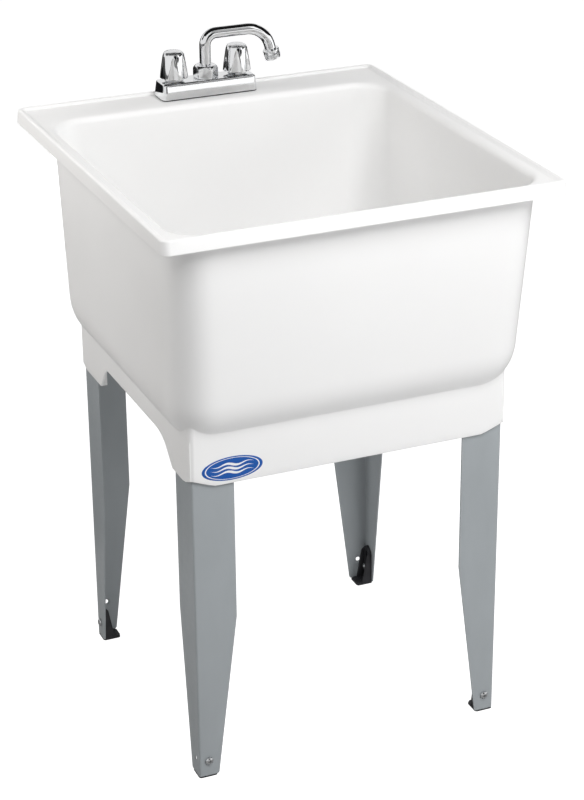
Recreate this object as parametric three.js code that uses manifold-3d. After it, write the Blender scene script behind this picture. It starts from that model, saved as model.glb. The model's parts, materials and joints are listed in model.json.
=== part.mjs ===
// Utility laundry sink: a moulded tub on four sheet-steel legs, with a two-handle faucet and a drain.
// Millimetres, +Z up. The origin is on the floor, under the middle of the rim. The front faces -Y.
import * as THREE from 'three';
import { mergeVertices } from 'three/addons/utils/BufferGeometryUtils.js';
import { ConvexGeometry } from 'three/addons/geometries/ConvexGeometry.js';
import Module from 'manifold-3d';

const wasm = await Module();
wasm.setup();

// ---------------------------------------------------------------- driving dimensions

// Clearance between two pieces that touch on the real sink.
const fitGap = 0.3;
// How far a cutter runs past the face that it opens.
const cutPast = 2;

// Rim
const rimWidth = 584;
const rimDepth = 635;
const rimTop = 850;
const rimCorner = 14;
const lipHeight = 20;
const lipDraft = 2.5;
const lipWall = 5;
const lipRound = 5;
const crestDrop = 4;
const crestSlope = 3.5;
const deckThickness = 5;

// Bowl, measured inside; the three rim widths run from the rim's edge to the bowl's wall.
const rimSide = 28;
const rimFront = 21.5;
const rimBack = 81.5;
const bowlWall = 5;
const bowlDepth = 320;
const bowlCorner = 47;
const bowlSideDraft = THREE.MathUtils.degToRad(1.3);
const bowlFrontDraft = THREE.MathUtils.degToRad(5.8);
const bowlBackDraft = THREE.MathUtils.degToRad(2.8);
const bowlFillet = 70;
const bowlEdgeRound = 7;
const floorFall = 5;
const cornerTightening = 0.5;

// Skirt under the bowl, with the leg sockets and the side arches
const skirtStep = 23.4;
const skirtStepBack = 17.4;
const skirtCorner = 9;
const skirtWall = 3.7;
const skirtHang = 62;
const tabRise = 4;
const archHeight = 41.5;
const frontTab = 67;
const rearTab = 90;
const archRunFront = 48;
const archRunRear = 36;
// How the arch bends: its curve's handles and its rear shoulder, as shares of its runs and its height
const archRise = 0.42;
const archEaseLow = 0.45;
const archEaseHigh = 0.55;
const archFlatFrom = 1.5;
const archShoulder = 0.6;
const archShoulderEase = 0.72;
const archShoulderDrop = 0.22;
const cornerCutX = 36;
const cornerCutY = 31;
const cornerCutRise = 14;
const socketWall = 4;
const socketRecess = 4;
const socketDepth = 67.3;

// Legs: angles folded from sheet, tapered below a kink
const legSheet = 2;
const legBend = 3;
const legFlange = 62;
const legToe = 30;
const legKink = 254;
const legBottom = 7;
const legToeRound = 7;

// Levelling feet, and the screws that clamp them
const padSize = 28;
const padThickness = 4;
const footWidth = 24.8;
const footPlate = 3;
const footRib = 2.5;
const footRibTop = 6;
const footRibFoot = 16;
const footSlotMargin = 1.5;
const footCrown = 9;
const footTravel = 25;
const padCorner = 4;
const screwHeight = 27;
const screwDiameter = 6;
const screwPlay = 0.8;
const screwHead = 12;
const screwHeadHeight = 4;
const screwEnd = 1.5;
const nutFlats = 10;
const nutThickness = 5;

// Drain in the middle of the bowl's floor
const drainFlange = 80;
const drainSeatMargin = 2;
const drainSeatDepth = 3;
const drainWall = 4;
const drainBarrelLength = 38;
const drainNutRim = 9;
const drainNutHeight = 12;
const drainNutLug = 10;
const gasketThickness = 3;
const strainerDepth = 13;
const strainerBar = 3;
const strainerHub = 15;
const tailDiameter = 38;
const tailWall = 1.8;
const tailLip = 3;
const tailLength = 72.7;
const slipNutRim = 6;
const slipNutHeight = 20;
const slipNutFloor = 4;
const plugHeight = 9;
const plugBrim = 3.4;
const plugGrip = 13;
const plugGripHeight = 22.5;

// Faucet on the back deck
const faucetSetback = 33.5;
const faucetCentres = 101.6;
const coverEnd = 26.2;
const coverDepth = 45;
const coverHeight = 25;
const coverDraft = 3.2;
const coverCorner = 8;
const coverRound = 3;
const coverWall = 2.4;
const padRubber = 1.4;
const padInset = 0.8;
const valveBarrel = 22;
const valveRise = 6;
const valveWall = 3;
const valveSeatHeight = 14;
const seatBore = 7;
const bonnetRim = 2;
const bonnetTop = 2;
const crossTube = 14;
const crossTubeHeight = 8;
const crossTubeBore = 6;
const shankDiameter = 20.4;
const shankHolePlay = 4;
const shankLength = 54;
const shankBore = 12;
const lockNutHeight = 11;
const lockNutDiameter = 38;
const washerThickness = 2;
const knobLift = 2.2;
const knobPlay = 1.2;
const knobWall = 1.6;
const knobTaper = 11.4;
const knobHeight = 41;
const knobFlutes = 6;
const knobFluteDepth = 3.4;
const knobShoulder = 3;
const knobWell = 12;
const knobWeb = 3;
const capHeight = 4;
const capEdge = 3;
const capSpigot = 4;
const stemDiameter = 8;
const stemCollar = 2.5;
const stemSocket = 9;
const handleScrewDiameter = 4;
const handleScrewLength = 10;
const handleScrewHead = 8;

// Spout: a bent tube that swivels in the faucet's centre post
const spoutTube = 17;
const spoutWall = 1.8;
const spoutHeight = 91.5;
const spoutFirstBend = 18;
const spoutSecondBend = 38;
const spoutRun = 68;
const spoutDroop = THREE.MathUtils.degToRad(74);
const spoutTip = 16;
const spoutFootDepth = 10;
const spoutCollar = 2.5;
const sealWidth = 1.8;
const sealHeight = 3;
const postWall = 2.2;
const postDrop = 6;
const spoutNutRim = 4;
const spoutNutHeight = 19;
const hoseEndWall = 4;
const hoseEndLength = 15;
const hoseEndLap = 8;

// Facets round each kind of curve
const cornerSteps = 7;
const roundSteps = 20;
const smallSteps = 16;
const tinySteps = 12;

// ---------------------------------------------------------------- finishes

const finishes = {
  tub: { color: 0xf2f1ee, roughness: 0.28, metalness: 0 },
  leg: { color: 0x8b9091, roughness: 0.45, metalness: 0.1 },
  black: { color: 0x1c1d20, roughness: 0.6, metalness: 0 },
  zinc: { color: 0xc2c4c6, roughness: 0.3, metalness: 1 },
  chrome: { color: 0xe2e4e6, roughness: 0.06, metalness: 1 },
  brass: { color: 0xb99a4e, roughness: 0.3, metalness: 1 },
  rubber: { color: 0x202022, roughness: 0.8, metalness: 0 },
  steel: { color: 0xb8babc, roughness: 0.25, metalness: 1 },
  nylon: { color: 0xe9e8e2, roughness: 0.5, metalness: 0 },
};

const sink = new THREE.Group();

function addPiece(name, shape, finish, parent = sink) {
  const mesh = new THREE.Mesh(toGeometry(shape), new THREE.MeshStandardMaterial(finishes[finish]));
  mesh.name = name;
  parent.add(mesh);
  return mesh;
}

// ---------------------------------------------------------------- solids

// A closed mesh with merged corners and outward faces becomes a solid that can be cut and joined.
function toSolid(geometry) {
  const bare = geometry.index ? geometry.toNonIndexed() : geometry.clone();
  for (const attribute of Object.keys(bare.attributes)) {
    if (attribute !== 'position') {
      bare.deleteAttribute(attribute);
    }
  }
  const merged = mergeVertices(bare, 1e-4);
  const corners = merged.index.array;
  const points = merged.attributes.position.array;
  const kept = [];
  for (let i = 0; i < corners.length; i += 3) {
    const [a, b, c] = corners.slice(i, i + 3);
    if (a !== b && b !== c && c !== a) {
      kept.push(a, b, c);
    }
  }
  if (signedVolume(points, kept) < 0) {
    for (let i = 0; i < kept.length; i += 3) {
      [kept[i], kept[i + 1]] = [kept[i + 1], kept[i]];
    }
  }
  const mesh = new wasm.Mesh({
    numProp: 3,
    vertProperties: new Float32Array(points),
    triVerts: new Uint32Array(kept),
  });
  return new wasm.Manifold(mesh);
}

function signedVolume(points, corners) {
  const at = (k) => new THREE.Vector3().fromArray(points, 3 * k);
  let volume = 0;
  for (let i = 0; i < corners.length; i += 3) {
    volume += at(corners[i]).dot(at(corners[i + 1]).cross(at(corners[i + 2])));
  }
  return volume;
}

function toGeometry(shape) {
  const solid = shape.isBufferGeometry ? toSolid(shape) : shape;
  const mesh = solid.getMesh();
  const geometry = new THREE.BufferGeometry();
  geometry.setAttribute('position', new THREE.BufferAttribute(mesh.vertProperties, 3));
  geometry.setIndex(new THREE.BufferAttribute(mesh.triVerts, 1));
  return geometry;
}

function join(...shapes) {
  return shapes.map((s) => (s.isBufferGeometry ? toSolid(s) : s)).reduce((sum, s) => sum.add(s));
}

function cut(shape, ...cutters) {
  const start = shape.isBufferGeometry ? toSolid(shape) : shape;
  const tools = cutters.map((s) => (s.isBufferGeometry ? toSolid(s) : s));
  return tools.reduce((rest, tool) => rest.subtract(tool), start);
}

function common(shape, ...others) {
  const start = shape.isBufferGeometry ? toSolid(shape) : shape;
  const tools = others.map((s) => (s.isBufferGeometry ? toSolid(s) : s));
  return tools.reduce((rest, tool) => rest.intersect(tool), start);
}

// A rounded rectangle at one height, as a ring of points that starts at the +X side and turns to +Y.
function roundedRing({ left, right, front, back, corner, z, steps = cornerSteps }) {
  const centres = [
    [right - corner, back - corner],
    [left + corner, back - corner],
    [left + corner, front + corner],
    [right - corner, front + corner],
  ];
  return centres.flatMap(([x, y], quarter) => {
    const points = [];
    for (let i = 0; i <= steps; i += 1) {
      const angle = (quarter + i / steps) * (Math.PI / 2);
      points.push(new THREE.Vector3(x + corner * Math.cos(angle), y + corner * Math.sin(angle), z));
    }
    return points;
  });
}

function circleRing(x, y, radius, z, steps = cornerSteps) {
  const sides = { left: x - radius, right: x + radius, front: y - radius, back: y + radius };
  return roundedRing({ ...sides, corner: radius, z, steps });
}

// A closed skin through rings of equal point counts, capped at both ends.
function loft(rings) {
  const count = rings[0].length;
  const points = [];
  const triangle = (a, b, c) => points.push(...a.toArray(), ...b.toArray(), ...c.toArray());
  for (let r = 0; r + 1 < rings.length; r += 1) {
    for (let i = 0; i < count; i += 1) {
      const next = (i + 1) % count;
      triangle(rings[r][i], rings[r][next], rings[r + 1][next]);
      triangle(rings[r][i], rings[r + 1][next], rings[r + 1][i]);
    }
  }
  const ends = [rings[0], [...rings[rings.length - 1]].reverse()];
  for (const ring of ends) {
    const middle = ring.reduce((sum, p) => sum.add(p), new THREE.Vector3()).divideScalar(count);
    for (let i = 0; i < count; i += 1) {
      triangle(middle, ring[(i + 1) % count], ring[i]);
    }
  }
  const geometry = new THREE.BufferGeometry();
  geometry.setAttribute('position', new THREE.Float32BufferAttribute(points, 3));
  return geometry;
}

// A profile of [radius, height] pairs turned about the vertical axis; it closes on itself.
function revolve(profile, steps = roundSteps) {
  const points = profile.map(([radius, height]) => new THREE.Vector2(radius, height));
  const first = profile[0];
  const last = profile[profile.length - 1];
  if (first[0] > 0 || last[0] > 0) {
    points.push(points[0].clone());
  }
  return new THREE.LatheGeometry(points, steps).rotateX(Math.PI / 2);
}

function disc(radius, z0, z1, steps = roundSteps) {
  return revolve([[0, z0], [radius, z0], [radius, z1], [0, z1]], steps);
}

function ring(inner, outer, z0, z1, steps = roundSteps) {
  return revolve([[inner, z0], [outer, z0], [outer, z1], [inner, z1]], steps);
}

function prism(shape, z0, z1, steps = 6) {
  const settings = { depth: z1 - z0, bevelEnabled: false, curveSegments: steps };
  return new THREE.ExtrudeGeometry(shape, settings).translate(0, 0, z0);
}

function box(x0, x1, y0, y1, z0, z1) {
  const geometry = new THREE.BoxGeometry(x1 - x0, y1 - y0, z1 - z0);
  return geometry.translate((x0 + x1) / 2, (y0 + y1) / 2, (z0 + z1) / 2);
}

function hexagon(flats) {
  const shape = new THREE.Shape();
  const radius = flats / Math.sqrt(3);
  for (let i = 0; i < 6; i += 1) {
    const angle = (i * Math.PI) / 3;
    const point = [radius * Math.cos(angle), radius * Math.sin(angle)];
    if (i === 0) {
      shape.moveTo(...point);
    } else {
      shape.lineTo(...point);
    }
  }
  shape.closePath();
  return shape;
}

// A hexagon nut along +Z with turned chamfers at its corners.
function hexNut(flats, bore, z0, z1, steps = tinySteps) {
  const corner = flats / Math.sqrt(3);
  const inscribed = flats / 2;
  const chamfer = (corner - inscribed) * 0.6;
  const blank = revolve([
    [0, z0],
    [inscribed, z0],
    [corner + cutPast / 10, z0 + chamfer],
    [corner + cutPast / 10, z1 - chamfer],
    [inscribed, z1],
    [0, z1],
  ], steps);
  const hole = disc(bore / 2, z0 - cutPast, z1 + cutPast, steps);
  return cut(common(prism(hexagon(flats), z0, z1), blank), hole);
}

// ---------------------------------------------------------------- shared places

const deckTop = rimTop - crestDrop;
const deckUnder = deckTop - deckThickness;
const lipBottom = rimTop - lipHeight;
const floorTop = deckTop - bowlDepth;
const filletCentre = floorTop + bowlFillet;
const skirtBottom = floorTop - skirtHang;
const socketBottom = skirtBottom + socketRecess;
const socketRoof = skirtBottom + socketDepth;

// The bowl's wall at one height, moved outward by an offset: 0 is the inside, bowlWall the outside.
function bowlSides(z, offset) {
  const fall = deckTop - z;
  const radius = bowlFillet + offset;
  const drop = Math.min(Math.max(filletCentre - z, 0), radius);
  const inset = radius - Math.sqrt(radius ** 2 - drop ** 2);
  return {
    right: rimWidth / 2 - rimSide - fall * Math.tan(bowlSideDraft) + offset - inset,
    front: -(rimDepth / 2 - rimFront - fall * Math.tan(bowlFrontDraft) + offset - inset),
    back: rimDepth / 2 - rimBack - fall * Math.tan(bowlBackDraft) + offset - inset,
    corner: bowlCorner + offset + fall * Math.tan(bowlSideDraft) - inset * cornerTightening,
  };
}

function bowlRing(z, offset, flare = 0) {
  const sides = bowlSides(z, offset + flare);
  return roundedRing({ ...sides, left: -sides.right, z });
}

const floorSides = bowlSides(floorTop, 0);
const drainY = (floorSides.front + floorSides.back) / 2;
const drainFloor = floorTop - floorFall;
const drainRest = drainFloor - drainSeatDepth;
const drainUnder = drainRest - bowlWall;
const drainSeat = drainFlange + 2 * drainSeatMargin;
const drainBarrel = tailDiameter + 2 * tailLip;
const drainBore = drainBarrel - 2 * drainWall;

const wallFoot = bowlSides(filletCentre, bowlWall);
const skirt = {
  right: wallFoot.right - skirtStep,
  left: -(wallFoot.right - skirtStep),
  front: wallFoot.front + skirtStep,
  back: wallFoot.back - skirtStepBack,
};

const legFace = {
  x: skirt.right - skirtWall - fitGap,
  front: skirt.front + skirtWall + fitGap,
  back: skirt.back - skirtWall - fitGap,
};
const legTop = socketRoof - fitGap;
// How far a foot's middle, and the holes for its screw, lie from the leg's outer corner.
const footCentre = legSheet + 2 * fitGap + footWidth / 2;
const screwHole = screwDiameter + screwPlay;
const footShoulder = screwHeight + footTravel + screwHole / 2 + footSlotMargin;
const footPeak = footShoulder + footCrown;

// Each corner's leg: where its fold stands, how it is turned, which flange its foot is screwed to
// (the first lies along the leg's own X, the second along its Y) and how high its spare hole is.
const corners = [
  { name: 'front_left', x: -legFace.x, y: legFace.front, quarter: 0, screwFlange: 'first', spare: 27 },
  { name: 'front_right', x: legFace.x, y: legFace.front, quarter: 1, screwFlange: 'second', spare: 27 },
  { name: 'rear_right', x: legFace.x, y: legFace.back, quarter: 2, screwFlange: 'second', spare: 35 },
  { name: 'rear_left', x: -legFace.x, y: legFace.back, quarter: 3, screwFlange: 'first', spare: 54 },
];

const faucetY = rimDepth / 2 - faucetSetback;
const valveX = [-faucetCentres / 2, faucetCentres / 2];

// ---------------------------------------------------------------- tub

function rimRing(inset, z) {
  return roundedRing({
    right: rimWidth / 2 - inset,
    left: -(rimWidth / 2 - inset),
    front: -(rimDepth / 2 - inset),
    back: rimDepth / 2 - inset,
    corner: Math.max(rimCorner - inset, 3),
    z,
    steps: 4,
  });
}

function rimSolid() {
  const rings = [rimRing(0, lipBottom), rimRing(lipDraft, rimTop - lipRound)];
  for (let i = 1; i <= 4; i += 1) {
    const angle = (i / 4) * (Math.PI / 2);
    const inset = lipDraft + lipRound * (1 - Math.cos(angle));
    rings.push(rimRing(inset, rimTop - lipRound * (1 - Math.sin(angle))));
  }
  const crest = lipDraft + lipRound + 1;
  const recess = loft([
    rimRing(crest + crestSlope, deckTop),
    rimRing(crest, rimTop),
    rimRing(crest, rimTop + cutPast),
  ]);
  const under = loft([rimRing(lipWall, lipBottom - cutPast), rimRing(lipWall + lipDraft, deckUnder)]);
  return cut(loft(rings), recess, under);
}

function bowlOutside() {
  const rings = [circleRing(0, drainY, drainSeat / 2 + bowlWall, drainUnder)];
  rings.push(circleRing(0, drainY, drainSeat / 2 + 2 * bowlWall, drainFloor - bowlWall));
  const steps = 8;
  for (let i = 0; i <= steps; i += 1) {
    const angle = (i / steps) * (Math.PI / 2);
    rings.push(bowlRing(filletCentre - (bowlFillet + bowlWall) * Math.cos(angle), bowlWall));
  }
  rings.push(bowlRing(deckTop - deckThickness / 2, bowlWall));
  return loft(rings);
}

function bowlInside() {
  const rings = [circleRing(0, drainY, drainSeat / 2, drainRest)];
  rings.push(circleRing(0, drainY, drainSeat / 2, drainFloor));
  const steps = 8;
  for (let i = 0; i <= steps; i += 1) {
    const angle = (i / steps) * (Math.PI / 2);
    rings.push(bowlRing(filletCentre - bowlFillet * Math.cos(angle), 0));
  }
  const rollSteps = 4;
  for (let i = 0; i <= rollSteps; i += 1) {
    const angle = (i / rollSteps) * (Math.PI / 2);
    const rise = bowlEdgeRound * Math.sin(angle);
    rings.push(bowlRing(deckTop - bowlEdgeRound + rise, 0, bowlEdgeRound * (1 - Math.cos(angle))));
  }
  const top = bowlSides(deckTop, bowlEdgeRound);
  rings.push(roundedRing({ ...top, left: -top.right, z: rimTop + cutPast }));
  return loft(rings);
}

// The outline of a side arch, seen along X: the tabs at the legs hang lower than the edge between them.
function archCutter() {
  const low = skirtBottom + tabRise;
  const high = skirtBottom + archHeight;
  const start = skirt.front + frontTab;
  const end = skirt.back - rearTab;
  const outline = new THREE.Shape();
  outline.moveTo(skirt.front + skirtWall, skirtBottom - cutPast);
  outline.lineTo(skirt.front + skirtWall, low);
  outline.lineTo(start, low);
  outline.bezierCurveTo(
    start + archRunFront * archEaseLow, low + archHeight * archRise,
    start + archRunFront * archEaseHigh, high,
    start + archRunFront * archFlatFrom, high,
  );
  outline.lineTo(end - archRunRear, high);
  outline.quadraticCurveTo(
    end - archRunRear * archShoulderEase, high,
    end - archRunRear * archShoulder, high - archRunRear * archShoulderDrop,
  );
  outline.lineTo(end, low);
  outline.lineTo(skirt.back - skirtWall, low);
  outline.lineTo(skirt.back - skirtWall, skirtBottom - cutPast);
  outline.closePath();
  // Drawn as (Y, Z), extruded across the whole width, then turned to stand along X.
  const width = skirt.right - skirt.left + 2 * cutPast;
  const settings = { depth: width, bevelEnabled: false, curveSegments: 7 };
  const block = new THREE.ExtrudeGeometry(outline, settings).translate(0, 0, -width / 2);
  return block.rotateX(Math.PI / 2).rotateZ(Math.PI / 2);
}

// A slanting cut across a lower outer corner of the skirt.
function cornerCutter(x, y) {
  const inX = -Math.sign(x);
  const inY = -Math.sign(y);
  const past = 10;
  const at = (u, v, z) => new THREE.Vector3(x + inX * u, y + inY * v, z);
  const peak = skirtBottom + cornerCutRise * (1 + past / cornerCutX + past / cornerCutY);
  const alongX = cornerCutX * (1 + past / cornerCutY);
  const alongY = cornerCutY * (1 + past / cornerCutX);
  const below = skirtBottom - cutPast;
  return new ConvexGeometry([
    at(alongX, -past, skirtBottom),
    at(-past, alongY, skirtBottom),
    at(-past, -past, peak),
    at(alongX, -past, below),
    at(-past, alongY, below),
    at(-past, -past, below),
  ]);
}

function skirtPrism(inset, z0, z1) {
  const sides = {
    left: skirt.left + inset,
    right: skirt.right - inset,
    front: skirt.front + inset,
    back: skirt.back - inset,
    corner: Math.max(skirtCorner - inset, 2),
    steps: 6,
  };
  return loft([roundedRing({ ...sides, z: z0 }), roundedRing({ ...sides, z: z1 })]);
}

// An L in plan with its fold at the origin, turned to a corner. One arm lies across the sink's width
// and the other along its depth.
function angleBlock(corner, outer, inner, acrossArm, depthArm, z0, z1) {
  const [armX, armY] = corner.quarter % 2 === 0 ? [acrossArm, depthArm] : [depthArm, acrossArm];
  const plan = new THREE.Shape();
  plan.moveTo(outer, outer);
  plan.lineTo(armX, outer);
  plan.lineTo(armX, inner);
  plan.lineTo(inner, inner);
  plan.lineTo(inner, armY);
  plan.lineTo(outer, armY);
  plan.closePath();
  return prism(plan, z0, z1).rotateZ((corner.quarter * Math.PI) / 2).translate(corner.x, corner.y, 0);
}

function makeTub() {
  const skirtTop = (filletCentre + floorTop) / 2;
  const shell = cut(
    skirtPrism(0, skirtBottom, skirtTop),
    skirtPrism(skirtWall, skirtBottom - cutPast, skirtTop + cutPast),
  );
  const arm = legFlange + fitGap;
  const inner = legSheet + fitGap;
  // A rear socket runs on to the end of its tab, where the arch's slope cuts it.
  const sockets = corners.map((c) => {
    const depthArm = Math.max(arm + socketWall, c.y > 0 ? rearTab : 0);
    return angleBlock(
      c, -fitGap - skirtWall / 2, inner + socketWall, arm + socketWall, depthArm, socketBottom, skirtTop,
    );
  });
  const slots = corners.map((c) => (
    angleBlock(c, -fitGap, inner, arm, arm, skirtBottom - cutPast, socketRoof)
  ));
  const chamfers = corners.map((c) => cornerCutter(
    Math.sign(c.x) * skirt.right, c.y < 0 ? skirt.front : skirt.back,
  ));
  const base = cut(join(shell, ...sockets), archCutter(), ...chamfers, ...slots);
  const body = join(rimSolid(), bowlOutside(), base);
  const drainHole = disc(drainBarrel / 2 + fitGap, drainUnder - cutPast, drainFloor);
  drainHole.translate(0, drainY, 0);
  const faucetHoles = valveX.map((x) => (
    disc(shankDiameter / 2 + shankHolePlay, deckUnder - cutPast, rimTop).translate(x, faucetY, 0)
  ));
  addPiece('tub', cut(body, bowlInside(), drainHole, ...faucetHoles), 'tub');
}

// ---------------------------------------------------------------- legs

// Flange width against height, as a plate outline with its toe corner rounded.
function flangeOutline() {
  const outline = new THREE.Shape();
  const past = -cutPast;
  outline.moveTo(past, legBottom);
  outline.lineTo(legToe - legToeRound, legBottom);
  outline.quadraticCurveTo(legToe, legBottom, legToe + 1, legBottom + legToeRound);
  outline.lineTo(legFlange, legKink);
  outline.lineTo(legFlange, legTop);
  outline.lineTo(past, legTop);
  outline.closePath();
  return outline;
}

// A hole through a flange, square to it: along Y for the first flange, along X for the second.
function flangeHole(flange, height, diameter) {
  const along = footCentre;
  const drill = disc(diameter / 2, -cutPast, legSheet + cutPast, tinySteps);
  if (flange === 'first') {
    return drill.rotateX(-Math.PI / 2).translate(along, 0, height);
  }
  return drill.rotateY(Math.PI / 2).translate(0, along, height);
}

function legSolid(corner) {
  const plan = new THREE.Shape();
  plan.moveTo(legBend, 0);
  plan.lineTo(legFlange, 0);
  plan.lineTo(legFlange, legSheet);
  plan.lineTo(legBend, legSheet);
  plan.absarc(legBend, legBend, legBend - legSheet, -Math.PI / 2, -Math.PI, true);
  plan.lineTo(legSheet, legFlange);
  plan.lineTo(0, legFlange);
  plan.lineTo(0, legBend);
  plan.absarc(legBend, legBend, legBend, Math.PI, 1.5 * Math.PI, false);
  const reach = legFlange + 2 * cutPast;
  const settings = { depth: reach, bevelEnabled: false, curveSegments: 4 };
  const plate = new THREE.ExtrudeGeometry(flangeOutline(), settings);
  const firstPlate = plate.clone().rotateX(Math.PI / 2).translate(0, reach - cutPast, 0);
  const secondPlate = plate.clone().rotateX(Math.PI / 2).rotateZ(Math.PI / 2).translate(-cutPast, 0, 0);
  const angle = common(prism(plan, legBottom, legTop, 3), firstPlate, secondPlate);
  const spareFlange = corner.screwFlange === 'first' ? 'second' : 'first';
  return cut(
    angle,
    flangeHole(corner.screwFlange, screwHeight, screwHole),
    flangeHole(spareFlange, corner.spare, screwHole),
  );
}

// ---------------------------------------------------------------- levelling feet

// A foot in its own frame: its plate lies against a flange in the plane y = 0 and grows to +Y.
// Its pad reaches the leg's other flange, which stands at -X of it, or at +X on the second flange.
function footSolid(flange) {
  const half = footWidth / 2;
  const otherSide = flange === 'first' ? -footCentre : footCentre - padSize;
  const face = new THREE.Shape();
  face.moveTo(-half, padThickness / 2);
  face.lineTo(half, padThickness / 2);
  face.lineTo(half, footShoulder);
  face.lineTo(2, footPeak);
  face.lineTo(-2, footPeak);
  face.lineTo(-half, footShoulder);
  face.closePath();
  const slot = new THREE.Path();
  const slotHalf = screwHole / 2;
  slot.absarc(0, screwHeight, slotHalf, Math.PI, 2 * Math.PI, false);
  slot.absarc(0, screwHeight + footTravel, slotHalf, 0, Math.PI, false);
  slot.closePath();
  face.holes.push(slot);
  const plate = prism(face, 0, footPlate, 6).rotateX(Math.PI / 2).translate(0, footPlate, 0);

  const side = new THREE.Shape();
  side.moveTo(0, padThickness / 2);
  side.lineTo(footRibFoot, padThickness / 2);
  side.lineTo(footRibTop, footShoulder - 2);
  side.quadraticCurveTo(footRibTop - 1, footShoulder + 1, footPlate - 0.5, footShoulder);
  side.lineTo(0, footShoulder - 1);
  side.closePath();
  const rib = prism(side, 0, footRib, 3).rotateX(Math.PI / 2).rotateZ(Math.PI / 2);
  const ribs = [-half, half - footRib].map((x) => rib.clone().translate(x, 0, 0));

  const edge = legSheet + fitGap;
  const sides = {
    left: otherSide,
    right: otherSide + padSize,
    front: -edge,
    back: padSize - edge,
    corner: padCorner,
    steps: 3,
  };
  const pad = loft([
    roundedRing({ ...sides, z: 0 }),
    roundedRing({ ...sides, z: padThickness }),
  ]);
  return join(pad, plate, ...ribs);
}

// A pan-head screw along +Z, its head's seat at 0 and its head below, with a cross recess.
function panScrew(diameter, length, headDiameter, headHeight) {
  const head = headDiameter / 2;
  const blank = revolve([
    [0, -headHeight],
    [head * 0.6, -headHeight * 0.92],
    [head, -headHeight * 0.35],
    [head, 0],
    [diameter / 2, 0],
    [diameter / 2, length - 1],
    [diameter / 2 - 1, length],
    [0, length],
  ], tinySteps);
  const reach = headDiameter * 0.27;
  const slot = headDiameter * 0.05;
  const depth = -headHeight * 0.45;
  const top = -headHeight - cutPast;
  const recess = [
    box(-reach, reach, -slot, slot, top, depth),
    box(-slot, slot, -reach, reach, top, depth),
  ];
  return cut(blank, ...recess);
}

function makeLegs() {
  for (const corner of corners) {
    const place = new THREE.Group();
    place.position.set(corner.x, corner.y, 0);
    place.rotation.z = (corner.quarter * Math.PI) / 2;
    sink.add(place);
    addPiece(`leg_${corner.name}`, legSolid(corner), 'leg', place);

    // The foot, its screw and its nut share a frame whose +Y runs into the leg from the screwed flange.
    const mount = new THREE.Group();
    if (corner.screwFlange === 'first') {
      mount.position.set(footCentre, 0, 0);
    } else {
      mount.position.set(0, footCentre, 0);
      mount.rotation.z = -Math.PI / 2;
    }
    place.add(mount);
    const foot = addPiece(`foot_${corner.name}`, footSolid(corner.screwFlange), 'black', mount);
    foot.position.y = legSheet + fitGap;
    const plateFace = legSheet + 2 * fitGap + footPlate;
    const screwLength = plateFace + nutThickness + screwEnd;
    const screw = addPiece(
      `foot_screw_${corner.name}`,
      panScrew(screwDiameter, screwLength, screwHead, screwHeadHeight),
      'zinc',
      mount,
    );
    screw.rotation.x = -Math.PI / 2;
    screw.position.set(0, -fitGap, screwHeight);
    const nut = addPiece(
      `foot_nut_${corner.name}`,
      hexNut(nutFlats, screwDiameter + 2 * fitGap, 0, nutThickness),
      'zinc',
      mount,
    );
    nut.rotation.x = -Math.PI / 2;
    nut.position.set(0, plateFace, screwHeight);
  }
}

// ---------------------------------------------------------------- drain

function addDrainPiece(name, shape, finish) {
  addPiece(name, shape, finish).position.set(0, drainY, 0);
}

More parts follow.
